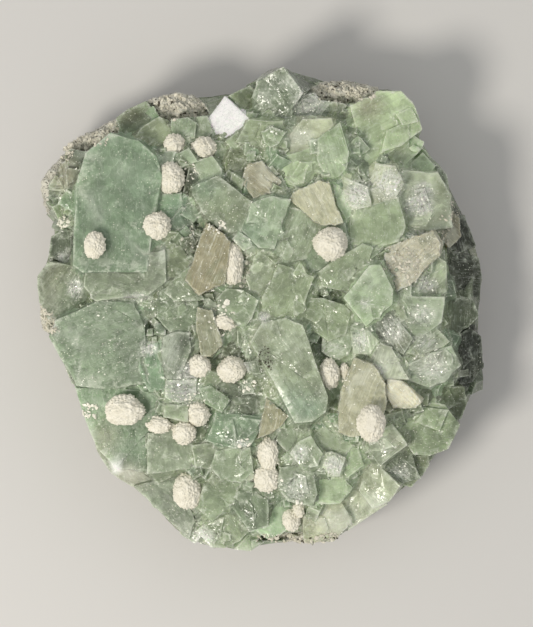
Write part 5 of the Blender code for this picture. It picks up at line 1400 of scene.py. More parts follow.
# ---------------------------------------------------------------------------
# Materials
# ---------------------------------------------------------------------------
class Graph:
    """Small helper for node materials."""

    def __init__(self, name):
        self.mat = bpy.data.materials.new(name)
        self.mat.use_nodes = True
        self.tree = self.mat.node_tree
        self.nodes, self.links = self.tree.nodes, self.tree.links
        self.bsdf = self.nodes["Principled BSDF"]
        self.out = self.nodes["Material Output"]

    def put(self, socket, value):
        if isinstance(value, bpy.types.NodeSocket):
            self.links.new(value, socket)
        elif value is not None:
            socket.default_value = value

    def attr(self, name):
        n = self.nodes.new("ShaderNodeAttribute")
        n.attribute_name = name
        return n

    def scale(self, vec, s):
        n = self.nodes.new("ShaderNodeMapping")
        self.put(n.inputs["Vector"], vec)
        n.inputs["Scale"].default_value = s
        return n.outputs["Vector"]

    def noise(self, vec, scale, detail=3.0, rough=0.5, distort=0.0):
        n = self.nodes.new("ShaderNodeTexNoise")
        self.put(n.inputs["Vector"], vec)
        n.inputs["Scale"].default_value = scale
        n.inputs["Detail"].default_value = detail
        n.inputs["Roughness"].default_value = rough
        n.inputs["Distortion"].default_value = distort
        return n.outputs["Fac"]

    def voronoi(self, vec, scale, feature="F1", rand=1.0):
        n = self.nodes.new("ShaderNodeTexVoronoi")
        n.feature = feature
        self.put(n.inputs["Vector"], vec)
        n.inputs["Scale"].default_value = scale
        n.inputs["Randomness"].default_value = rand
        return n

    def math(self, op, a, b=None, c=None, clamp=False):
        n = self.nodes.new("ShaderNodeMath")
        n.operation = op
        n.use_clamp = clamp
        self.put(n.inputs[0], a)
        if b is not None:
            self.put(n.inputs[1], b)
        if c is not None:
            self.put(n.inputs[2], c)
        return n.outputs[0]

    def ramp(self, fac, lo, hi, out_lo=0.0, out_hi=1.0, smooth=True):
        n = self.nodes.new("ShaderNodeMapRange")
        n.interpolation_type = "SMOOTHSTEP" if smooth else "LINEAR"
        self.put(n.inputs["Value"], fac)
        n.inputs["From Min"].default_value = lo
        n.inputs["From Max"].default_value = hi
        n.inputs["To Min"].default_value = out_lo
        n.inputs["To Max"].default_value = out_hi
        return n.outputs["Result"]

    def mix(self, fac, a, b, kind="MIX"):
        n = self.nodes.new("ShaderNodeMix")
        n.data_type = "RGBA"
        n.blend_type = kind
        self.put(n.inputs["Factor"], fac)
        ia = [s for s in n.inputs if s.name == "A" and s.type == "RGBA"][0]
        ib = [s for s in n.inputs if s.name == "B" and s.type == "RGBA"][0]
        self.put(ia, (*a, 1.0) if isinstance(a, (tuple, list, np.ndarray)) and len(a) == 3 else a)
        self.put(ib, (*b, 1.0) if isinstance(b, (tuple, list, np.ndarray)) and len(b) == 3 else b)
        return [s for s in n.outputs if s.type == "RGBA"][0]

    def gain(self, colour, value):
        """Colour times a grey value."""
        n = self.nodes.new("ShaderNodeVectorMath")
        n.operation = "SCALE"
        self.put(n.inputs[0], colour)
        self.put(n.inputs["Scale"], value)
        return n.outputs[0]

    def bump(self, height, strength, distance, normal=None):
        n = self.nodes.new("ShaderNodeBump")
        n.inputs["Strength"].default_value = strength
        n.inputs["Distance"].default_value = distance
        self.put(n.inputs["Height"], height)
        if normal is not None:
            self.put(n.inputs["Normal"], normal)
        return n.outputs["Normal"]

    def split(self, colour):
        n = self.nodes.new("ShaderNodeSeparateColor")
        self.put(n.inputs[0], colour)
        return n.outputs

    def object_mm(self):
        """Object coordinates in millimetres."""
        n = self.nodes.new("ShaderNodeTexCoord")
        return self.scale(n.outputs["Object"], (1000.0, 1000.0, 1000.0))


def crystal_material():
    g = Graph("apophyllite_look")
    grain = g.attr("grain").outputs["Vector"]
    tint = g.attr("tint").outputs["Color"]
    mask = g.attr("mask")
    spark, stripe, veil = g.split(mask.outputs["Color"])[:3]
    clear = mask.outputs["Alpha"]
    edge = g.split(g.attr("edge").outputs["Color"])[0]

    cloud = g.noise(g.scale(grain, (0.13, 0.10, 0.12)), 1.0, 3.0, 0.62, 0.6)
    mottle = g.noise(g.scale(grain, (0.55, 0.38, 0.5)), 1.0, 3.0, 0.66)
    fine = g.noise(grain, 2.6, 3.0, 0.6)
    lines = g.noise(g.scale(grain, (0.06, 1.9, 1.3)), 1.0, 3.0, 0.68)

    mirror = g.split(g.attr("edge").outputs["Color"])[1]
    # milky body colour: clouds, mottling and fine specks
    value = g.math("ADD", g.ramp(cloud, 0.28, 0.72, 0.92, 1.09), g.ramp(mottle, 0.3, 0.7, -0.065, 0.065))
    value = g.math("ADD", value, g.ramp(fine, 0.3, 0.7, -0.03, 0.03))
    line_amount = g.math("MULTIPLY", g.ramp(lines, 0.36, 0.64, -0.22, 0.26), stripe)
    value = g.math("ADD", value, line_amount)
    colour = g.gain(tint, value)

    # haze that runs on from crystal to crystal
    haze = g.noise(g.object_mm(), 0.26, 3.0, 0.66, 0.8)
    colour = g.gain(colour, g.ramp(haze, 0.30, 0.50, 0.92, 1.0))
    colour = g.mix(g.ramp(haze, 0.52, 0.70, 0.0, 0.16), colour, (0.78, 0.83, 0.74))

    # cleavage blocks seen inside, squared with the crystal, and their cracks
    wob = g.noise(g.scale(grain, (0.5, 0.5, 0.5)), 1.0, 2.0, 0.5)
    shifted = g.nodes.new("ShaderNodeVectorMath")
    shifted.operation = "MULTIPLY_ADD"
    wcol = g.nodes.new("ShaderNodeCombineXYZ")
    g.put(wcol.inputs[0], wob)
    g.put(wcol.inputs[1], g.math("SUBTRACT", 1.0, wob))
    g.put(shifted.inputs[0], wcol.outputs[0])
    shifted.inputs[1].default_value = (1.2, 1.2, 1.2)
    g.put(shifted.inputs[2], g.scale(grain, (0.30, 0.46, 0.38)))
    blocks = g.nodes.new("ShaderNodeTexVoronoi")
    blocks.feature = "F1"
    blocks.distance = "CHEBYCHEV"
    g.put(blocks.inputs["Vector"], shifted.outputs[0])
    blocks.inputs["Scale"].default_value = 1.0
    blocks.inputs["Randomness"].default_value = 0.85
    block_value = g.split(blocks.outputs["Color"])[0]
    swing = g.math("ADD", 0.16, g.math("MULTIPLY", clear, 0.65))
    colour = g.gain(colour, g.math("ADD", 1.0, g.math("MULTIPLY", swing, g.math("SUBTRACT", block_value, 0.5))))
    crackv = g.voronoi(shifted.outputs[0], 1.0, "DISTANCE_TO_EDGE", 0.9)
    crack_zone = g.ramp(mottle, 0.48, 0.62)
    crack_on = g.math("MULTIPLY", g.ramp(crackv.outputs["Distance"], 0.012, 0.05, 1.0, 0.0), crack_zone)
    colour = g.mix(g.math("MULTIPLY", crack_on, 0.36), colour, (0.74, 0.79, 0.70))

    # thin cloudy veils and feathery inclusions
    feather = g.noise(g.scale(grain, (0.35, 1.4, 0.8)), 1.0, 4.0, 0.72, 1.2)
    wisps = g.ramp(feather, 0.54, 0.70, 0.0, 0.9)
    veil_on = g.math("MAXIMUM", g.math("MULTIPLY", veil, g.ramp(feather, 0.30, 0.62, 0.35, 1.0)),
                     g.math("MULTIPLY", wisps, 0.34))
    colour = g.mix(veil_on, colour, (0.80, 0.84, 0.76))

    # white streaks along the growth direction
    streak = g.math("MULTIPLY", g.math("MULTIPLY", g.ramp(lines, 0.55, 0.68, 0.0, 0.75), g.ramp(cloud, 0.42, 0.60)), stripe)
    colour = g.mix(streak, colour, (0.86, 0.90, 0.82))

    # painted glints: a painted white sheen and bright flakes in the crack patches, with dark flakes among them
    colour = g.mix(g.math("MULTIPLY", g.ramp(spark, 0.0, 0.9), g.ramp(feather, 0.36, 0.56, 0.10, 0.95)), colour, (0.90, 0.93, 0.87))
    flakes = g.voronoi(g.scale(grain, (1.3, 2.1, 1.6)), 1.0)
    flake_value = g.split(flakes.outputs["Color"])[0]
    bright = g.math("MULTIPLY", g.ramp(flake_value, 0.62, 0.70, 0.0, 1.0), spark)
    darkf = g.math("MULTIPLY", g.ramp(flake_value, 0.20, 0.14, 0.0, 1.0), spark)
    colour = g.mix(g.math("MULTIPLY", darkf, 0.35), colour, (0.12, 0.15, 0.10))
    colour = g.mix(g.math("MULTIPLY", bright, 0.9), colour, (0.95, 0.97, 0.90))

    # sparse dark specks
    spots = g.voronoi(g.scale(grain, (1.5, 1.5, 1.5)), 1.0)
    spot_pick = g.split(spots.outputs["Color"])[2]
    spot_zone = g.ramp(g.noise(g.scale(grain, (0.11, 0.11, 0.11)), 1.0, 2.0, 0.5), 0.52, 0.66)
    spot_on = g.math("MULTIPLY", g.math("MULTIPLY", g.ramp(spots.outputs["Distance"], 0.18, 0.30, 1.0, 0.0),
                                        g.ramp(spot_pick, 0.84, 0.88)), spot_zone)
    colour = g.mix(g.math("MULTIPLY", spot_on, 0.7), colour, (0.10, 0.11, 0.07))

    # tiny glints on crystal steps
    dots = spots
    dot_pick = g.split(dots.outputs["Color"])[1]
    near = g.ramp(dots.outputs["Distance"], 0.20, 0.30, 1.0, 0.0)
    zone = g.noise(g.scale(grain, (0.16, 0.16, 0.16)), 1.0, 3.0, 0.6)
    amount = g.math("ADD", g.ramp(zone, 0.42, 0.60, 0.1, 0.9), g.math("MULTIPLY", spark, 0.8))
    dot_on = g.math("MULTIPLY", g.math("MULTIPLY", near, g.ramp(dot_pick, 0.70, 0.74)), amount, clamp=True)
    colour = g.mix(dot_on, colour, (0.96, 0.96, 0.84))

    # painted highlight: pale lines along the upper crystal edges
    edge_on = g.math("MULTIPLY", edge, g.ramp(mottle, 0.42, 0.58, 0.05, 0.62))
    colour = g.mix(edge_on, colour, (0.66, 0.70, 0.60))
    # painted reflection: the mirror faces take a near white colour crossed by darker crack lines
    crack_line = g.math("MULTIPLY", g.ramp(mottle, 0.470, 0.495, 0.0, 0.40), g.ramp(mottle, 0.505, 0.530, 1.0, 0.0))
    mirror_colour = g.mix(crack_line, (0.97, 0.98, 0.96), (0.50, 0.54, 0.52))
    colour = g.mix(mirror, colour, mirror_colour)
    g.put(g.bsdf.inputs["Base Color"], colour)

    rough = g.math("ADD", g.ramp(mottle, 0.3, 0.7, 0.08, 0.24), g.math("MULTIPLY", edge, 0.08))
    rough = g.math("MULTIPLY", rough, g.math("SUBTRACT", 1.0, g.math("MULTIPLY", spark, 0.6)), clamp=True)
    dull = g.split(g.attr("edge").outputs["Color"])[2]
    rough = g.math("ADD", rough, g.math("MULTIPLY", dull, 0.30))
    g.put(g.bsdf.inputs["Roughness"], rough)

    trans = g.math("ADD", clear, g.ramp(cloud, 0.35, 0.7, 0.10, -0.06))
    trans = g.math("MULTIPLY", trans, g.math("SUBTRACT", 1.0, g.math("MULTIPLY", veil_on, 0.8)))
    trans = g.math("MULTIPLY", trans, g.math("SUBTRACT", 1.0, g.math("MULTIPLY", edge, 0.6)), clamp=True)
    g.put(g.bsdf.inputs["Transmission Weight"], trans)
    g.bsdf.inputs["IOR"].default_value = 1.535
    g.bsdf.inputs["Specular IOR Level"].default_value = 0.42

    height = g.math("ADD", g.math("MULTIPLY", mottle, 0.5), g.math("MULTIPLY", fine, 0.16))
    height = g.math("ADD", height, g.math("MULTIPLY", g.math("MULTIPLY", lines, stripe), 1.1))
    n1 = g.bump(height, 0.28, 0.0004)

    # tiny crystal faces, each tilted its own way
    def facets(scale, amount, normal, reach):
        vec = g.scale(grain, scale)
        vor = g.voronoi(vec, 1.0)
        away = g.nodes.new("ShaderNodeVectorMath")
        away.operation = "SUBTRACT"
        g.put(away.inputs[0], vec)
        g.put(away.inputs[1], vor.outputs["Position"])
        lean = g.nodes.new("ShaderNodeVectorMath")
        lean.operation = "SUBTRACT"
        g.put(lean.inputs[0], vor.outputs["Color"])
        lean.inputs[1].default_value = (0.5, 0.5, 0.5)
        dot = g.nodes.new("ShaderNodeVectorMath")
        dot.operation = "DOT_PRODUCT"
        g.put(dot.inputs[0], away.outputs[0])
        g.put(dot.inputs[1], lean.outputs[0])
        return g.bump(g.math("MULTIPLY", dot.outputs["Value"], amount), 1.0, reach, normal)
    rise = g.math("ADD", g.ramp(zone, 0.40, 0.64, 0.05, 0.55), g.math("MULTIPLY", spark, 1.0))
    n2 = facets((0.45, 0.6, 0.5), g.math("ADD", g.ramp(cloud, 0.4, 0.6, 0.05, 0.24), g.math("MULTIPLY", spark, 0.5)), n1, 0.0011)
    n3 = facets((1.3, 1.7, 1.5), rise, n2, 0.0005)
    g.put(g.bsdf.inputs["Normal"], n3)
    g.bsdf.inputs["Subsurface Weight"].default_value = 1.0
    g.bsdf.inputs["Subsurface Radius"].default_value = (1.0, 1.1, 1.0)
    g.bsdf.inputs["Subsurface Scale"].default_value = 0.0024

    vol = g.nodes.new("ShaderNodeVolumeAbsorption")
    vol.inputs["Color"].default_value = (0.80, 0.92, 0.76, 1.0)
    vol.inputs["Density"].default_value = 30.0
    g.links.new(vol.outputs[0], g.out.inputs["Volume"])
    return g.mat


def spherule_material():
    g = Graph("spherule_look")
    p = g.object_mm()
    lump = g.noise(p, 0.45, 4.0, 0.6)
    fine = g.noise(p, 2.6, 4.0, 0.65)
    colour = g.mix(g.ramp(lump, 0.32, 0.68), (0.74, 0.71, 0.60), (0.86, 0.83, 0.73))
    colour = g.mix(g.ramp(fine, 0.30, 0.42, 0.35, 0.0), colour, (0.60, 0.55, 0.42))
    # painted shade: darker in the creases between the lumps
    crease = g.split(g.attr("crease").outputs["Color"])[0]
    colour = g.mix(g.math("MULTIPLY", crease, 0.42), colour, (0.55, 0.51, 0.40))
    specks = g.voronoi(p, 1.5)
    pick = g.split(specks.outputs["Color"])[0]
    speck = g.math("MULTIPLY", g.ramp(specks.outputs["Distance"], 0.16, 0.26, 1.0, 0.0), g.ramp(pick, 0.72, 0.76))
    colour = g.mix(g.math("MULTIPLY", speck, 0.5), colour, (0.30, 0.27, 0.18))
    g.put(g.bsdf.inputs["Base Color"], colour)
    g.put(g.bsdf.inputs["Roughness"], g.ramp(fine, 0.3, 0.7, 0.65, 0.9))
    g.bsdf.inputs["Specular IOR Level"].default_value = 0.3
    g.put(g.bsdf.inputs["Normal"], g.bump(fine, 0.6, 0.0003))
    return g.mat


def blade_material():
    g = Graph("pale_blade_look")
    grain = g.attr("grain").outputs["Vector"]
    tint = g.attr("tint").outputs["Color"]
    lines = g.noise(g.scale(grain, (0.08, 2.2, 1.6)), 1.0, 5.0, 0.7, 0.3)
    blotch = g.noise(g.scale(grain, (0.25, 0.35, 0.3)), 1.0, 4.0, 0.6)
    fine = g.noise(grain, 3.0, 3.0, 0.6)
    value = g.math("ADD", g.ramp(lines, 0.32, 0.68, 0.90, 1.08), g.ramp(blotch, 0.3, 0.7, -0.06, 0.06))
    value = g.math("ADD", value, g.ramp(fine, 0.3, 0.7, -0.05, 0.05))
    colour = g.gain(tint, value)
    wide = g.noise(g.scale(grain, (0.09, 0.13, 0.12)), 1.0, 3.0, 0.55, 0.5)
    colour = g.mix(g.ramp(wide, 0.50, 0.66, 0.0, 0.55), colour, (0.66, 0.68, 0.57))
    colour = g.mix(g.ramp(wide, 0.46, 0.34, 0.0, 0.45), colour, (0.26, 0.30, 0.20))
    strands = g.noise(g.scale(grain, (0.10, 3.2, 2.4)), 1.0, 3.0, 0.6, 0.4)
    strand_on = g.math("MULTIPLY", g.ramp(strands, 0.56, 0.66, 0.0, 0.5), g.ramp(blotch, 0.40, 0.58))
    colour = g.mix(strand_on, colour, (0.82, 0.83, 0.73))
    # painted highlight: pale lines along the blade edges
    edge = g.split(g.attr("edge").outputs["Color"])[0]
    colour = g.mix(g.math("MULTIPLY", edge, g.ramp(fine, 0.35, 0.65, 0.1, 0.6)), colour, (0.80, 0.79, 0.68))
    pits = g.ramp(g.noise(grain, 1.3, 4.0, 0.7), 0.60, 0.68, 0.0, 1.0)
    pit = g.math("MULTIPLY", pits, g.split(g.attr("mask").outputs["Color"])[0])
    colour = g.mix(g.math("MULTIPLY", pit, 0.7), colour, (0.16, 0.15, 0.10))
    g.put(g.bsdf.inputs["Base Color"], colour)
    g.put(g.bsdf.inputs["Roughness"], g.ramp(lines, 0.3, 0.7, 0.20, 0.40))
    g.bsdf.inputs["Specular IOR Level"].default_value = 0.5
    g.bsdf.inputs["Subsurface Weight"].default_value = 1.0
    g.bsdf.inputs["Subsurface Radius"].default_value = (1.1, 1.0, 0.8)
    g.bsdf.inputs["Subsurface Scale"].default_value = 0.0022
    height = g.math("ADD", g.math("MULTIPLY", lines, 0.9), g.math("MULTIPLY", fine, 0.25))
    height = g.math("SUBTRACT", height, g.math("MULTIPLY", pit, 0.7))
    g.put(g.bsdf.inputs["Normal"], g.bump(height, 0.7, 0.0004))
    return g.mat


def crust_material():
    g = Graph("matrix_crust_look")
    p = g.object_mm()
    grains = g.voronoi(p, 1.1)
    small = g.voronoi(p, 2.6)
    lump = g.noise(p, 0.16, 5.0, 0.6)
    fine = g.noise(p, 1.6, 4.0, 0.6)
    gv = g.split(grains.outputs["Color"])[0]
    colour = g.mix(g.ramp(lump, 0.35, 0.65), (0.52, 0.50, 0.42), (0.70, 0.68, 0.59))
    colour = g.mix(g.ramp(gv, 0.35, 0.95, 0.0, 0.6), colour, (0.76, 0.76, 0.68))
    colour = g.mix(g.ramp(g.split(small.outputs["Color"])[0], 0.86, 0.92, 0.0, 0.8), colour, (0.10, 0.10, 0.075))
    colour = g.mix(g.ramp(fine, 0.60, 0.72, 0.0, 0.6), colour, (0.26, 0.22, 0.15))
    # painted shade: darker in the creases between the grains
    crease = g.split(g.attr("crease").outputs["Color"])[0]
    colour = g.mix(g.math("MULTIPLY", crease, 0.45), colour, (0.14, 0.14, 0.10))
    g.put(g.bsdf.inputs["Base Color"], colour)
    g.put(g.bsdf.inputs["Roughness"], g.ramp(gv, 0.0, 1.0, 0.42, 0.85, False))
    height = g.math("ADD", g.math("MULTIPLY", grains.outputs["Distance"], -0.8), g.math("MULTIPLY", fine, 0.4))
    height = g.math("ADD", height, g.math("MULTIPLY", small.outputs["Distance"], -0.3))
    g.put(g.bsdf.inputs["Normal"], g.bump(height, 0.9, 0.0006))
    return g.mat


def plain_material(name, colour, rough, spread=0.2):
    g = Graph(name)
    p = g.object_mm()
    n = g.noise(p, 1.2, 4.0, 0.6)
    base = g.mix(g.ramp(n, 0.3, 0.7), tuple(c * (1 - spread) for c in colour),
                 tuple(min(1.0, c * (1 + spread)) for c in colour))
    g.put(g.bsdf.inputs["Base Color"], base)
    g.put(g.bsdf.inputs["Roughness"], g.ramp(n, 0.3, 0.7, rough - 0.1, rough + 0.1))
    g.put(g.bsdf.inputs["Normal"], g.bump(n, 0.4, 0.0003))
    return g.mat


# ---------------------------------------------------------------------------
# Spherules
# ---------------------------------------------------------------------------
def icosphere(level):
    bm = bmesh.new()
    bmesh.ops.create_icosphere(bm, subdivisions=level, radius=1.0)
    mesh = bpy.data.meshes.new("ico")
    bm.to_mesh(mesh)
    bm.free()
    n = len(mesh.vertices)
    v = np.empty(n * 3)
    mesh.vertices.foreach_get("co", v)
    t = np.empty(len(mesh.polygons) * 3, np.int32)
    mesh.polygons.foreach_get("vertices", t)
    bpy.data.meshes.remove(mesh)
    return v.reshape(-1, 3), t.reshape(-1, 3).astype(np.int64)


def cauliflower(d, centre, radii, seed):
    """Surface points of one bumpy ball, and how deep each lies in a crease."""
    size = float(np.mean(radii))
    w1, _ = worley(d * size / 1.9 + seed * 3.7, seed)
    w2, _ = worley(d * size / 0.85 + seed * 1.3, seed + 9)
    w3, pick = worley(d * size / 0.72 + seed * 2.1, seed + 15)
    low = fbm(d * 1.1 + seed, 3, seed + 2) - 0.5
    grit = fbm(d * size * 2.4 + seed, 2, seed + 4) - 0.5
    spike = np.clip(1.0 - 1.5 * w3, 0, 1) ** 1.2 * (0.3 + 0.7 * pick)
    r = 0.95 + 0.30 * low + (0.55 * (0.55 - w1) + 0.40 * (0.5 - w2) + 0.30 * grit + 0.75 * spike) / size
    crease = np.clip((w1 - 0.58) * 2.0, 0, 1) * 0.4 + np.clip((w3 - 0.5) * 1.8, 0, 1) * 0.6
    return centre + d * (np.array(radii) * r[:, None]), np.clip(crease, 0, 1)


def ball_points(size, fine):
    """Directions over a sphere, closer together on the upper side."""
    d, t = icosphere(4)
    def longest(mid):
        return np.where(mid[:, 2] > -0.25, fine / size, 0.6 / size)
    d, t, _ = refine(d, t, longest, 60000)
    d = d / np.linalg.norm(d, axis=1)[:, None]
    return d, t


def make_spherules(mat):
    lo_all, hi_all = np.array(CAD_LO) * 1000 + 0.02, np.array(CAD_HI) * 1000 - 0.02
    for k, (name, px, py, a, b, rise) in enumerate(BALLS):
        lo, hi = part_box(name)
        lo, hi = np.array(lo) * 1000, np.array(hi) * 1000
        rx, ry = a * UNIT, b * UNIT
        rz = 0.82 * min(rx, ry) + 0.12 * max(rx, ry)
        x, y = world((px, py))
        top = hi[2] + (1.2 if name == "spherule_14" else 0.0)
        centre = np.array([x + SHIFT[0], y + SHIFT[1], top - 0.92 * rz])
        d, t = ball_points(0.5 * (rx + ry), 0.245)
        v, crease = cauliflower(d, centre, (rx, ry, rz), k)
        v = np.minimum(np.maximum(v, lo_all), hi_all)
        obj = make_piece("ball_" + name[-2:], v, t)
        corner_colour(obj, "crease", np.repeat(crease[t.reshape(-1)][:, None], 4, axis=1))
        finish_piece(obj, mat, "spherule_white", name)
    # the double one: two joined balls
    lo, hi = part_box("spherule_twin")
    parts = []
    for k, (px, py, a, b) in enumerate(TWIN[1:3]):
        rx, ry = a * UNIT, b * UNIT
        x, y = world((px, py))
        centre = np.array([x + SHIFT[0], y + SHIFT[1], hi.z * 1000 - 0.9 * rx - 0.5 * k])
        d, t = ball_points(0.5 * (rx + ry), 0.245)
        v, crease = cauliflower(d, centre, (rx, ry, 0.9 * rx), 31 + k)
        parts.append((v, t, crease))
    objs = [make_piece("twin_part", v, t) for v, t, c in parts]
    boolean(objs[0], [objs[1]], "UNION")
    v, t = mesh_arrays(objs[0])
    v = v / MM
    v, t = biggest_body(v, t)
    drop(objs)
    tree = KDTree(len(parts[0][0]) + len(parts[1][0]))
    allv = np.concatenate([parts[0][0], parts[1][0]])
    allc = np.concatenate([parts[0][2], parts[1][2]])
    for i, p in enumerate(allv):
        tree.insert(p, i)
    tree.balance()
    crease = np.array([allc[tree.find(p)[1]] for p in v])
    v = np.minimum(np.maximum(v, lo_all), hi_all)
    obj = make_piece("ball_twin", v, t)
    corner_colour(obj, "crease", np.repeat(crease[t.reshape(-1)][:, None], 4, axis=1))
    finish_piece(obj, mat, "spherule_white", "spherule_twin")


def finish_piece(obj, mat, slot, *nodes):
    obj.data.materials.clear()
    obj.data.materials.append(mat)
    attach(obj, "root")
    if nodes:
        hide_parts(*nodes)


# ---------------------------------------------------------------------------
# Blades
# ---------------------------------------------------------------------------
BLADE_TINT = {
    "tan_blade": (srgb(162, 158, 131), 0.1), "tan_wedge": (srgb(167, 166, 138), 0.15),
    "striated_blade": (srgb(180, 181, 156), 0.1), "cream_blade": (srgb(224, 222, 200), 0.25),
    "beige_column": (srgb(152, 155, 130), 0.3), "beige_block": (srgb(193, 194, 167), 0.35),
    "brown_block": (srgb(166, 164, 140), 0.5), "white_crusted": (srgb(196, 194, 174), 1.0),
    "beige_knob": (srgb(156, 154, 134), 0.8),
}


def make_blades(mat):
    lo_all, hi_all = np.array(CAD_LO) * 1000 + 0.02, np.array(CAD_HI) * 1000 - 0.02
    for k, (name, outline, rise, lx, ly, depth) in enumerate(BLADES):
        face, back = prism_points(outline, rise, lx, ly, depth, 1.02, SEAT + 3.0)
        pts = [Vector(p) + Vector(SHIFT) for p in face + back]
        obj = hull_mesh(pts, bevel=0.22)
        v, t = mesh_arrays(obj)
        drop([obj])
        v, t, parent = refine(v, t, lambda m: np.full(len(m), 0.56), 16000)
        n = np.array([lx, ly, 1.0])
        n /= np.linalg.norm(n)
        along = np.array(longest_edge(outline))
        u = along - n * along.dot(n)
        u /= np.linalg.norm(u)
        w = np.cross(n, u)
        c = v.mean(axis=0)
        local = np.stack([(v - c) @ u, (v - c) @ w, (v - c) @ n], 1) + 13.0 * k
        vn = vertex_normals(v, t)
        lines = fbm(np.stack([local[:, 0] * 0.07, local[:, 1] * 1.5, local[:, 2] * 1.2], 1), 4, 60 + k) - 0.5
        rough = fbm(local * 0.8, 4, 80 + k) - 0.5
        big = fbm(local * 0.18, 3, 90 + k) - 0.5
        w1, _ = worley(local * 0.8, 70 + k)
        pitted = BLADE_TINT[name][1]
        h = 0.45 * lines + 0.2 * rough + 0.45 * big + pitted * 0.5 * (0.5 - w1)
        v = v + vn * (h - 0.15)[:, None]
        for wave, amount, sd in ((0.20, 1.2, 161), (0.6, 0.5, 164), (1.5, 0.3, 167)):
            drift = np.stack([fbm(v * wave, 2, sd + j) for j in range(3)], 1) - 0.5
            v = v + drift * amount
        v = np.minimum(np.maximum(v, lo_all), hi_all)
        obj = make_piece("look_" + name, v, t, True, 40)
        corner = t.reshape(-1)
        attr = obj.data.attributes.new("grain", "FLOAT_VECTOR", "CORNER")
        attr.data.foreach_set("vector", local[corner].astype(np.float32).ravel())
        tint = np.tile(np.append(BLADE_TINT[name][0], 1.0), (len(corner), 1))
        corner_colour(obj, "tint", tint)
        fn, _ = face_normals(v, t)
        vn2 = vertex_normals(v, t)
        spread = np.ones(len(v))
        for j in range(3):
            np.minimum.at(spread, t[:, j], np.einsum("ij,ij->i", fn, vn2[t[:, j]]))
        edge = np.clip((0.93 - spread) * 5, 0, 1)
        corner_colour(obj, "edge", np.repeat(edge[corner][:, None], 4, axis=1))
        corner_colour(obj, "mask", np.full((len(corner), 4), pitted))
        finish_piece(obj, mat, "pale_blade", name)


# ---------------------------------------------------------------------------
# Matrix
# ---------------------------------------------------------------------------
def make_matrix(mat):
    """Rough rock plate: the solid model's own shape, refined and roughened."""
    node = frame["nodes"]["matrix"]
    v, t = mesh_arrays(node)
    m = np.array(node.matrix_world)
    v = (v @ m[:3, :3].T + m[:3, 3]) * 1000.0
    v, t = biggest_body(v, t)
    v, t, parent = refine(v, t, lambda mid: np.where(mid[:, 2] < 0.4, 5.0, np.where(mid[:, 2] > 16.0, 0.72, 1.35)), 118000)
    print("matrix triangles", len(t))
    vn = vertex_normals(v, t)
    w1, _ = worley(v / 2.2, 5)
    w2, _ = worley(v / 0.95, 6)
    low = fbm(v * 0.12, 4, 7) - 0.5
    h = 1.6 * low + 1.2 * (0.5 - w1) + 0.7 * (0.5 - w2) - 0.2 + 0.9 * np.clip((v[:, 2] - 16.0) / 3.0, 0, 1)
    flat = np.clip(v[:, 2] / 1.2, 0, 1)
    v = v + vn * (h * flat)[:, None]
    v[:, 2] = np.maximum(v[:, 2], np.array(CAD_LO)[2] * 1000)
    lo, hi = np.array(CAD_LO) * 1000 + 0.02, np.array(CAD_HI) * 1000 - 0.02
    lo[2] -= 0.02
    v = np.minimum(np.maximum(v, lo), hi)
    obj = make_piece("rock_matrix", v, t)
    # crease: where painted shade darkens the crust between the grains
    crease = np.clip((w1 - 0.5) * 2.4, 0, 1)
    corner_colour(obj, "crease", np.repeat(crease[t.reshape(-1)][:, None], 4, axis=1))
    finish_piece(obj, mat, "matrix_crust", "matrix")


# ---------------------------------------------------------------------------
# Crumbs: broken flakes, crust grains and dark specks lying on the crystals, and pale flakes that stand as painted
# glints
# ---------------------------------------------------------------------------
# x, y, half width, half height, how many, smallest, largest size (mm), kind
CRUMBS = [
    (91, 409, 9, 8, 26, 0.35, 1.0, "white"), (249, 385, 12, 5, 18, 0.3, 0.8, "white"),
    (160, 424, 14, 10, 34, 0.3, 0.9, "white"), (222, 318, 13, 18, 46, 0.3, 0.9, "white"),
    (245, 442, 6, 5, 10, 0.3, 0.8, "white"), (216, 228, 11, 7, 26, 0.35, 0.9, "white"),
    (244, 270, 7, 20, 60, 0.3, 0.8, "grey"), (264, 355, 7, 10, 60, 0.14, 0.38, "dark"), (270, 364, 3, 5, 22, 0.14, 0.40, "dark"),
    (300, 510, 10, 10, 16, 0.3, 0.8, "white"), (196, 400, 10, 8, 14, 0.3, 0.7, "white"),
    (345, 380, 5, 10, 14, 0.3, 0.7, "white"), (400, 268, 18, 20, 70, 0.3, 0.8, "crust"),
    (446, 226, 10, 18, 30, 0.3, 0.7, "crust"), (190, 172, 12, 12, 14, 0.3, 0.7, "white"),
    (92, 142, 20, 8, 46, 0.3, 0.9, "crust"), (64, 222, 6, 6, 40, 0.3, 0.9, "white"),
    (66, 150, 8, 10, 60, 0.3, 0.9, "crust"), (78, 140, 12, 8, 50, 0.3, 0.9, "crust"),
    (50, 322, 7, 12, 30, 0.3, 0.8, "crust"), (455, 210, 6, 14, 30, 0.25, 0.6, "crust"),
    (190, 240, 8, 14, 16, 0.3, 0.7, "grey"), (270, 470, 14, 22, 18, 0.3, 0.7, "white"),
]


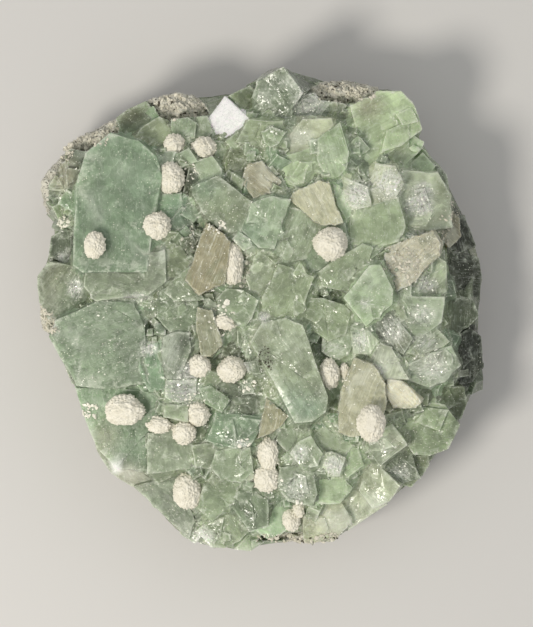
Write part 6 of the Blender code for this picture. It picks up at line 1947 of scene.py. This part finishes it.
def crumb_cloud(trees, mats, brink):
    coarse, round_ = icosphere(1), icosphere(2)
    sets = {"white": [], "grey": [], "dark": [], "crust": [], "glint": []}
    jobs = list(CRUMBS)
    # pale flakes in the crack patches: painted glints
    for x, y, a, b, s in SPARKLES:
        jobs.append((x, y, a * 1.2, b * 1.2, int(s * a * b * 0.42), 0.14, 0.46, "glint"))
    for outline, top in LUMPS:
        xs, ys = [p[0] for p in outline], [p[1] for p in outline]
        area = (max(xs) - min(xs)) * (max(ys) - min(ys)) * UNIT * UNIT
        if top > 26.5 and outline[0][0] < 60 or len(outline) < 5:
            continue
        jobs.append((0, 0, 0, 0, int(area * 3.6), 0.22, 0.85, outline))
    # pale flakes along the upper crystal edges: painted glints
    jobs.append((0, 0, 0, 0, min(len(brink), 2000), 0.12, 0.32, "brink"))
    for g, (cx, cy, a, b, count, small, big, kind) in enumerate(jobs):
        for i in range(count):
            what = kind
            if kind == "brink":
                spot = brink[int(hash01(69, g, i) * len(brink)) % len(brink)]
                x, y = spot[0], spot[1]
                what = "glint"
            elif isinstance(kind, list):
                xs, ys = [p[0] for p in kind], [p[1] for p in kind]
                qx = min(xs) + (max(xs) - min(xs)) * hash01(61, g, i)
                qy = min(ys) + (max(ys) - min(ys)) * hash01(62, g, i)
                if not inside(np.array([qx]), np.array([qy]), kind)[0]:
                    continue
                x, y = world((qx, qy))
                x, y = x + SHIFT[0], y + SHIFT[1]
                what = "dark" if hash01(70, g, i) > 0.95 else ("grey" if hash01(70, g, i) > 0.82 else "crust")
            else:
                ang = 2 * math.pi * hash01(61, g, i)
                r = math.sqrt(hash01(62, g, i))
                x, y = world((cx + a * r * math.cos(ang), cy + b * r * math.sin(ang)))
                x, y = x + SHIFT[0], y + SHIFT[1]
            z = None
            for tree in trees:
                hit = tree.ray_cast(Vector((x, y, 200.0)), Vector((0, 0, -1)))[0]
                if hit is not None and (z is None or hit.z > z):
                    z = hit.z
            if z is None:
                continue
            s = small + (big - small) * hash01(63, g, i) ** 2
            ax = 0.5 + hash01(64, g, i, 1), 0.5 + hash01(64, g, i, 2), 0.4 + 0.5 * hash01(64, g, i, 3)
            if what == "glint":
                ax = ax[0], ax[1], 0.3
            rot = 2 * math.pi * hash01(65, g, i)
            d, t = round_ if s > 0.45 and what != "glint" else coarse
            shape = d * (1 + 0.5 * (noise3(d * 1.6 + i * 3.1 + g, 44)[:, None] - 0.5))
            # cut a few flat faces
            for c in range(6):
                nn = np.array([hash01(66, g, i, c) - 0.5, hash01(67, g, i, c) - 0.5, hash01(68, g, i, c) - 0.5])
                nn /= np.linalg.norm(nn) + 1e-9
                over = np.maximum(shape @ nn - 0.42, 0)
                shape = shape - over[:, None] * nn
            p = shape * np.array(ax) * s
            q = np.stack([p[:, 0] * math.cos(rot) - p[:, 1] * math.sin(rot),
                          p[:, 0] * math.sin(rot) + p[:, 1] * math.cos(rot), p[:, 2]], 1)
            tilt = (hash01(58, g, i) - 0.5) * (1.5 if what == "glint" else 0.4)
            q = np.stack([q[:, 0], q[:, 1] * math.cos(tilt) - q[:, 2] * math.sin(tilt),
                          q[:, 1] * math.sin(tilt) + q[:, 2] * math.cos(tilt)], 1)
            sets[what].append((q + np.array([x, y, z + (0.05 if what == "glint" else 0.12) * s]), t))
    lo, hi = np.array(CAD_LO) * 1000 + 0.02, np.array(CAD_HI) * 1000 - 0.02
    for kind, clouds in sets.items():
        if not clouds:
            continue
        v = np.concatenate([c for c, _ in clouds])
        base = np.cumsum([0] + [len(c) for c, _ in clouds[:-1]])
        tt = np.concatenate([f + b for (_, f), b in zip(clouds, base)])
        v = np.minimum(np.maximum(v, lo), hi)
        print("crumbs", kind, len(tt))
        obj = make_piece("crumbs_" + kind, v, tt, True, 40)
        finish_piece(obj, mats[kind], {"white": "spherule_white", "glint": "apophyllite"}.get(kind, "matrix_crust"))


# ---------------------------------------------------------------------------
# Build
# ---------------------------------------------------------------------------
LIMIT_TOP = 0.88
v, t, owner, blocks = crystal_mass()
crystals, crystal_tree, brink = dress_crystals(v, t, owner, blocks)
finish_piece(crystals, crystal_material(), "apophyllite", "crystal_cluster")
make_spherules(spherule_material())
make_blades(blade_material())
make_matrix(crust_material())


def tree_of(obj):
    v, t = mesh_arrays(obj)
    return BVHTree.FromPolygons([tuple(p) for p in v * 1000], [tuple(int(i) for i in q) for q in t])


trees = [crystal_tree] + [tree_of(o) for o in bpy.data.objects
                          if o.name.startswith("look_") or o.name == "rock_matrix"]
crumb_cloud(trees, {
    "white": plain_material("white_flakes", (0.86, 0.84, 0.74), 0.6, 0.12),
    "grey": plain_material("grey_grains", (0.44, 0.44, 0.36), 0.55, 0.35),
    "dark": plain_material("dark_specks", (0.06, 0.05, 0.03), 0.5, 0.4),
    "crust": plain_material("crust_grains", (0.66, 0.63, 0.53), 0.7, 0.24),
    "glint": plain_material("painted_glint_flakes", (0.93, 0.94, 0.84), 0.25, 0.05),
}, brink)

# ---------------------------------------------------------------------------
# Floor, light and camera
# ---------------------------------------------------------------------------
scene = bpy.context.scene
bm = bmesh.new()
bmesh.ops.create_grid(bm, x_segments=1, y_segments=1, size=3.0)
mesh = bpy.data.meshes.new("floor")
bm.to_mesh(mesh)
bm.free()
floor = bpy.data.objects.new("floor", mesh)
scene.collection.objects.link(floor)
floor.location = (0, 0, CAD_LO[2] - 0.0002)
g = Graph("floor_pale")
g.bsdf.inputs["Base Color"].default_value = (0.62, 0.61, 0.60, 1.0)
g.bsdf.inputs["Roughness"].default_value = 0.9
mesh.materials.append(g.mat)

world_bg = bpy.data.worlds.new("studio")
scene.world = world_bg
world_bg.use_nodes = True
bg = world_bg.node_tree.nodes["Background"]
bg.inputs["Color"].default_value = (0.99, 0.99, 0.97, 1.0)
bg.inputs["Strength"].default_value = WORLD


def area_light(name, direction, distance, size, power, colour):
    data = bpy.data.lights.new(name, "AREA")
    data.shape = "DISK"
    data.size = size
    data.energy = power
    data.color = colour
    obj = bpy.data.objects.new(name, data)
    scene.collection.objects.link(obj)
    d = Vector(direction).normalized()
    obj.location = d * distance + Vector((0, 0, 0.04))
    obj.rotation_euler = d.to_track_quat("Z", "Y").to_euler()
    return obj


area_light("key", (-0.62, -0.46, 1.05), 0.9, 0.26, KEY, (1.0, 0.95, 0.86))
area_light("soft", (0.5, 0.8, 1.2), 1.3, 1.0, FILL, (0.97, 0.98, 1.0))

cam_data = bpy.data.cameras.new("camera")
camera = bpy.data.objects.new("camera", cam_data)
scene.collection.objects.link(camera)
DIST = 1.2
aim = Vector(((1.75 + SHIFT[0]) * MM, (-2.06 + SHIFT[1]) * MM, 0.030))
camera.location = aim + Vector((0, 0, DIST))
camera.rotation_euler = (0, 0, 0)
cam_data.sensor_fit = "VERTICAL"
cam_data.sensor_height = 24.0
cam_data.lens = 24.0 * DIST / 0.1990
cam_data.clip_start = 0.01
cam_data.clip_end = 20.0
scene.camera = camera
scene.view_settings.view_transform = "Standard"
scene.view_settings.look = "None"
scene.view_settings.exposure = 0.0
scene.view_settings.gamma = 1.0
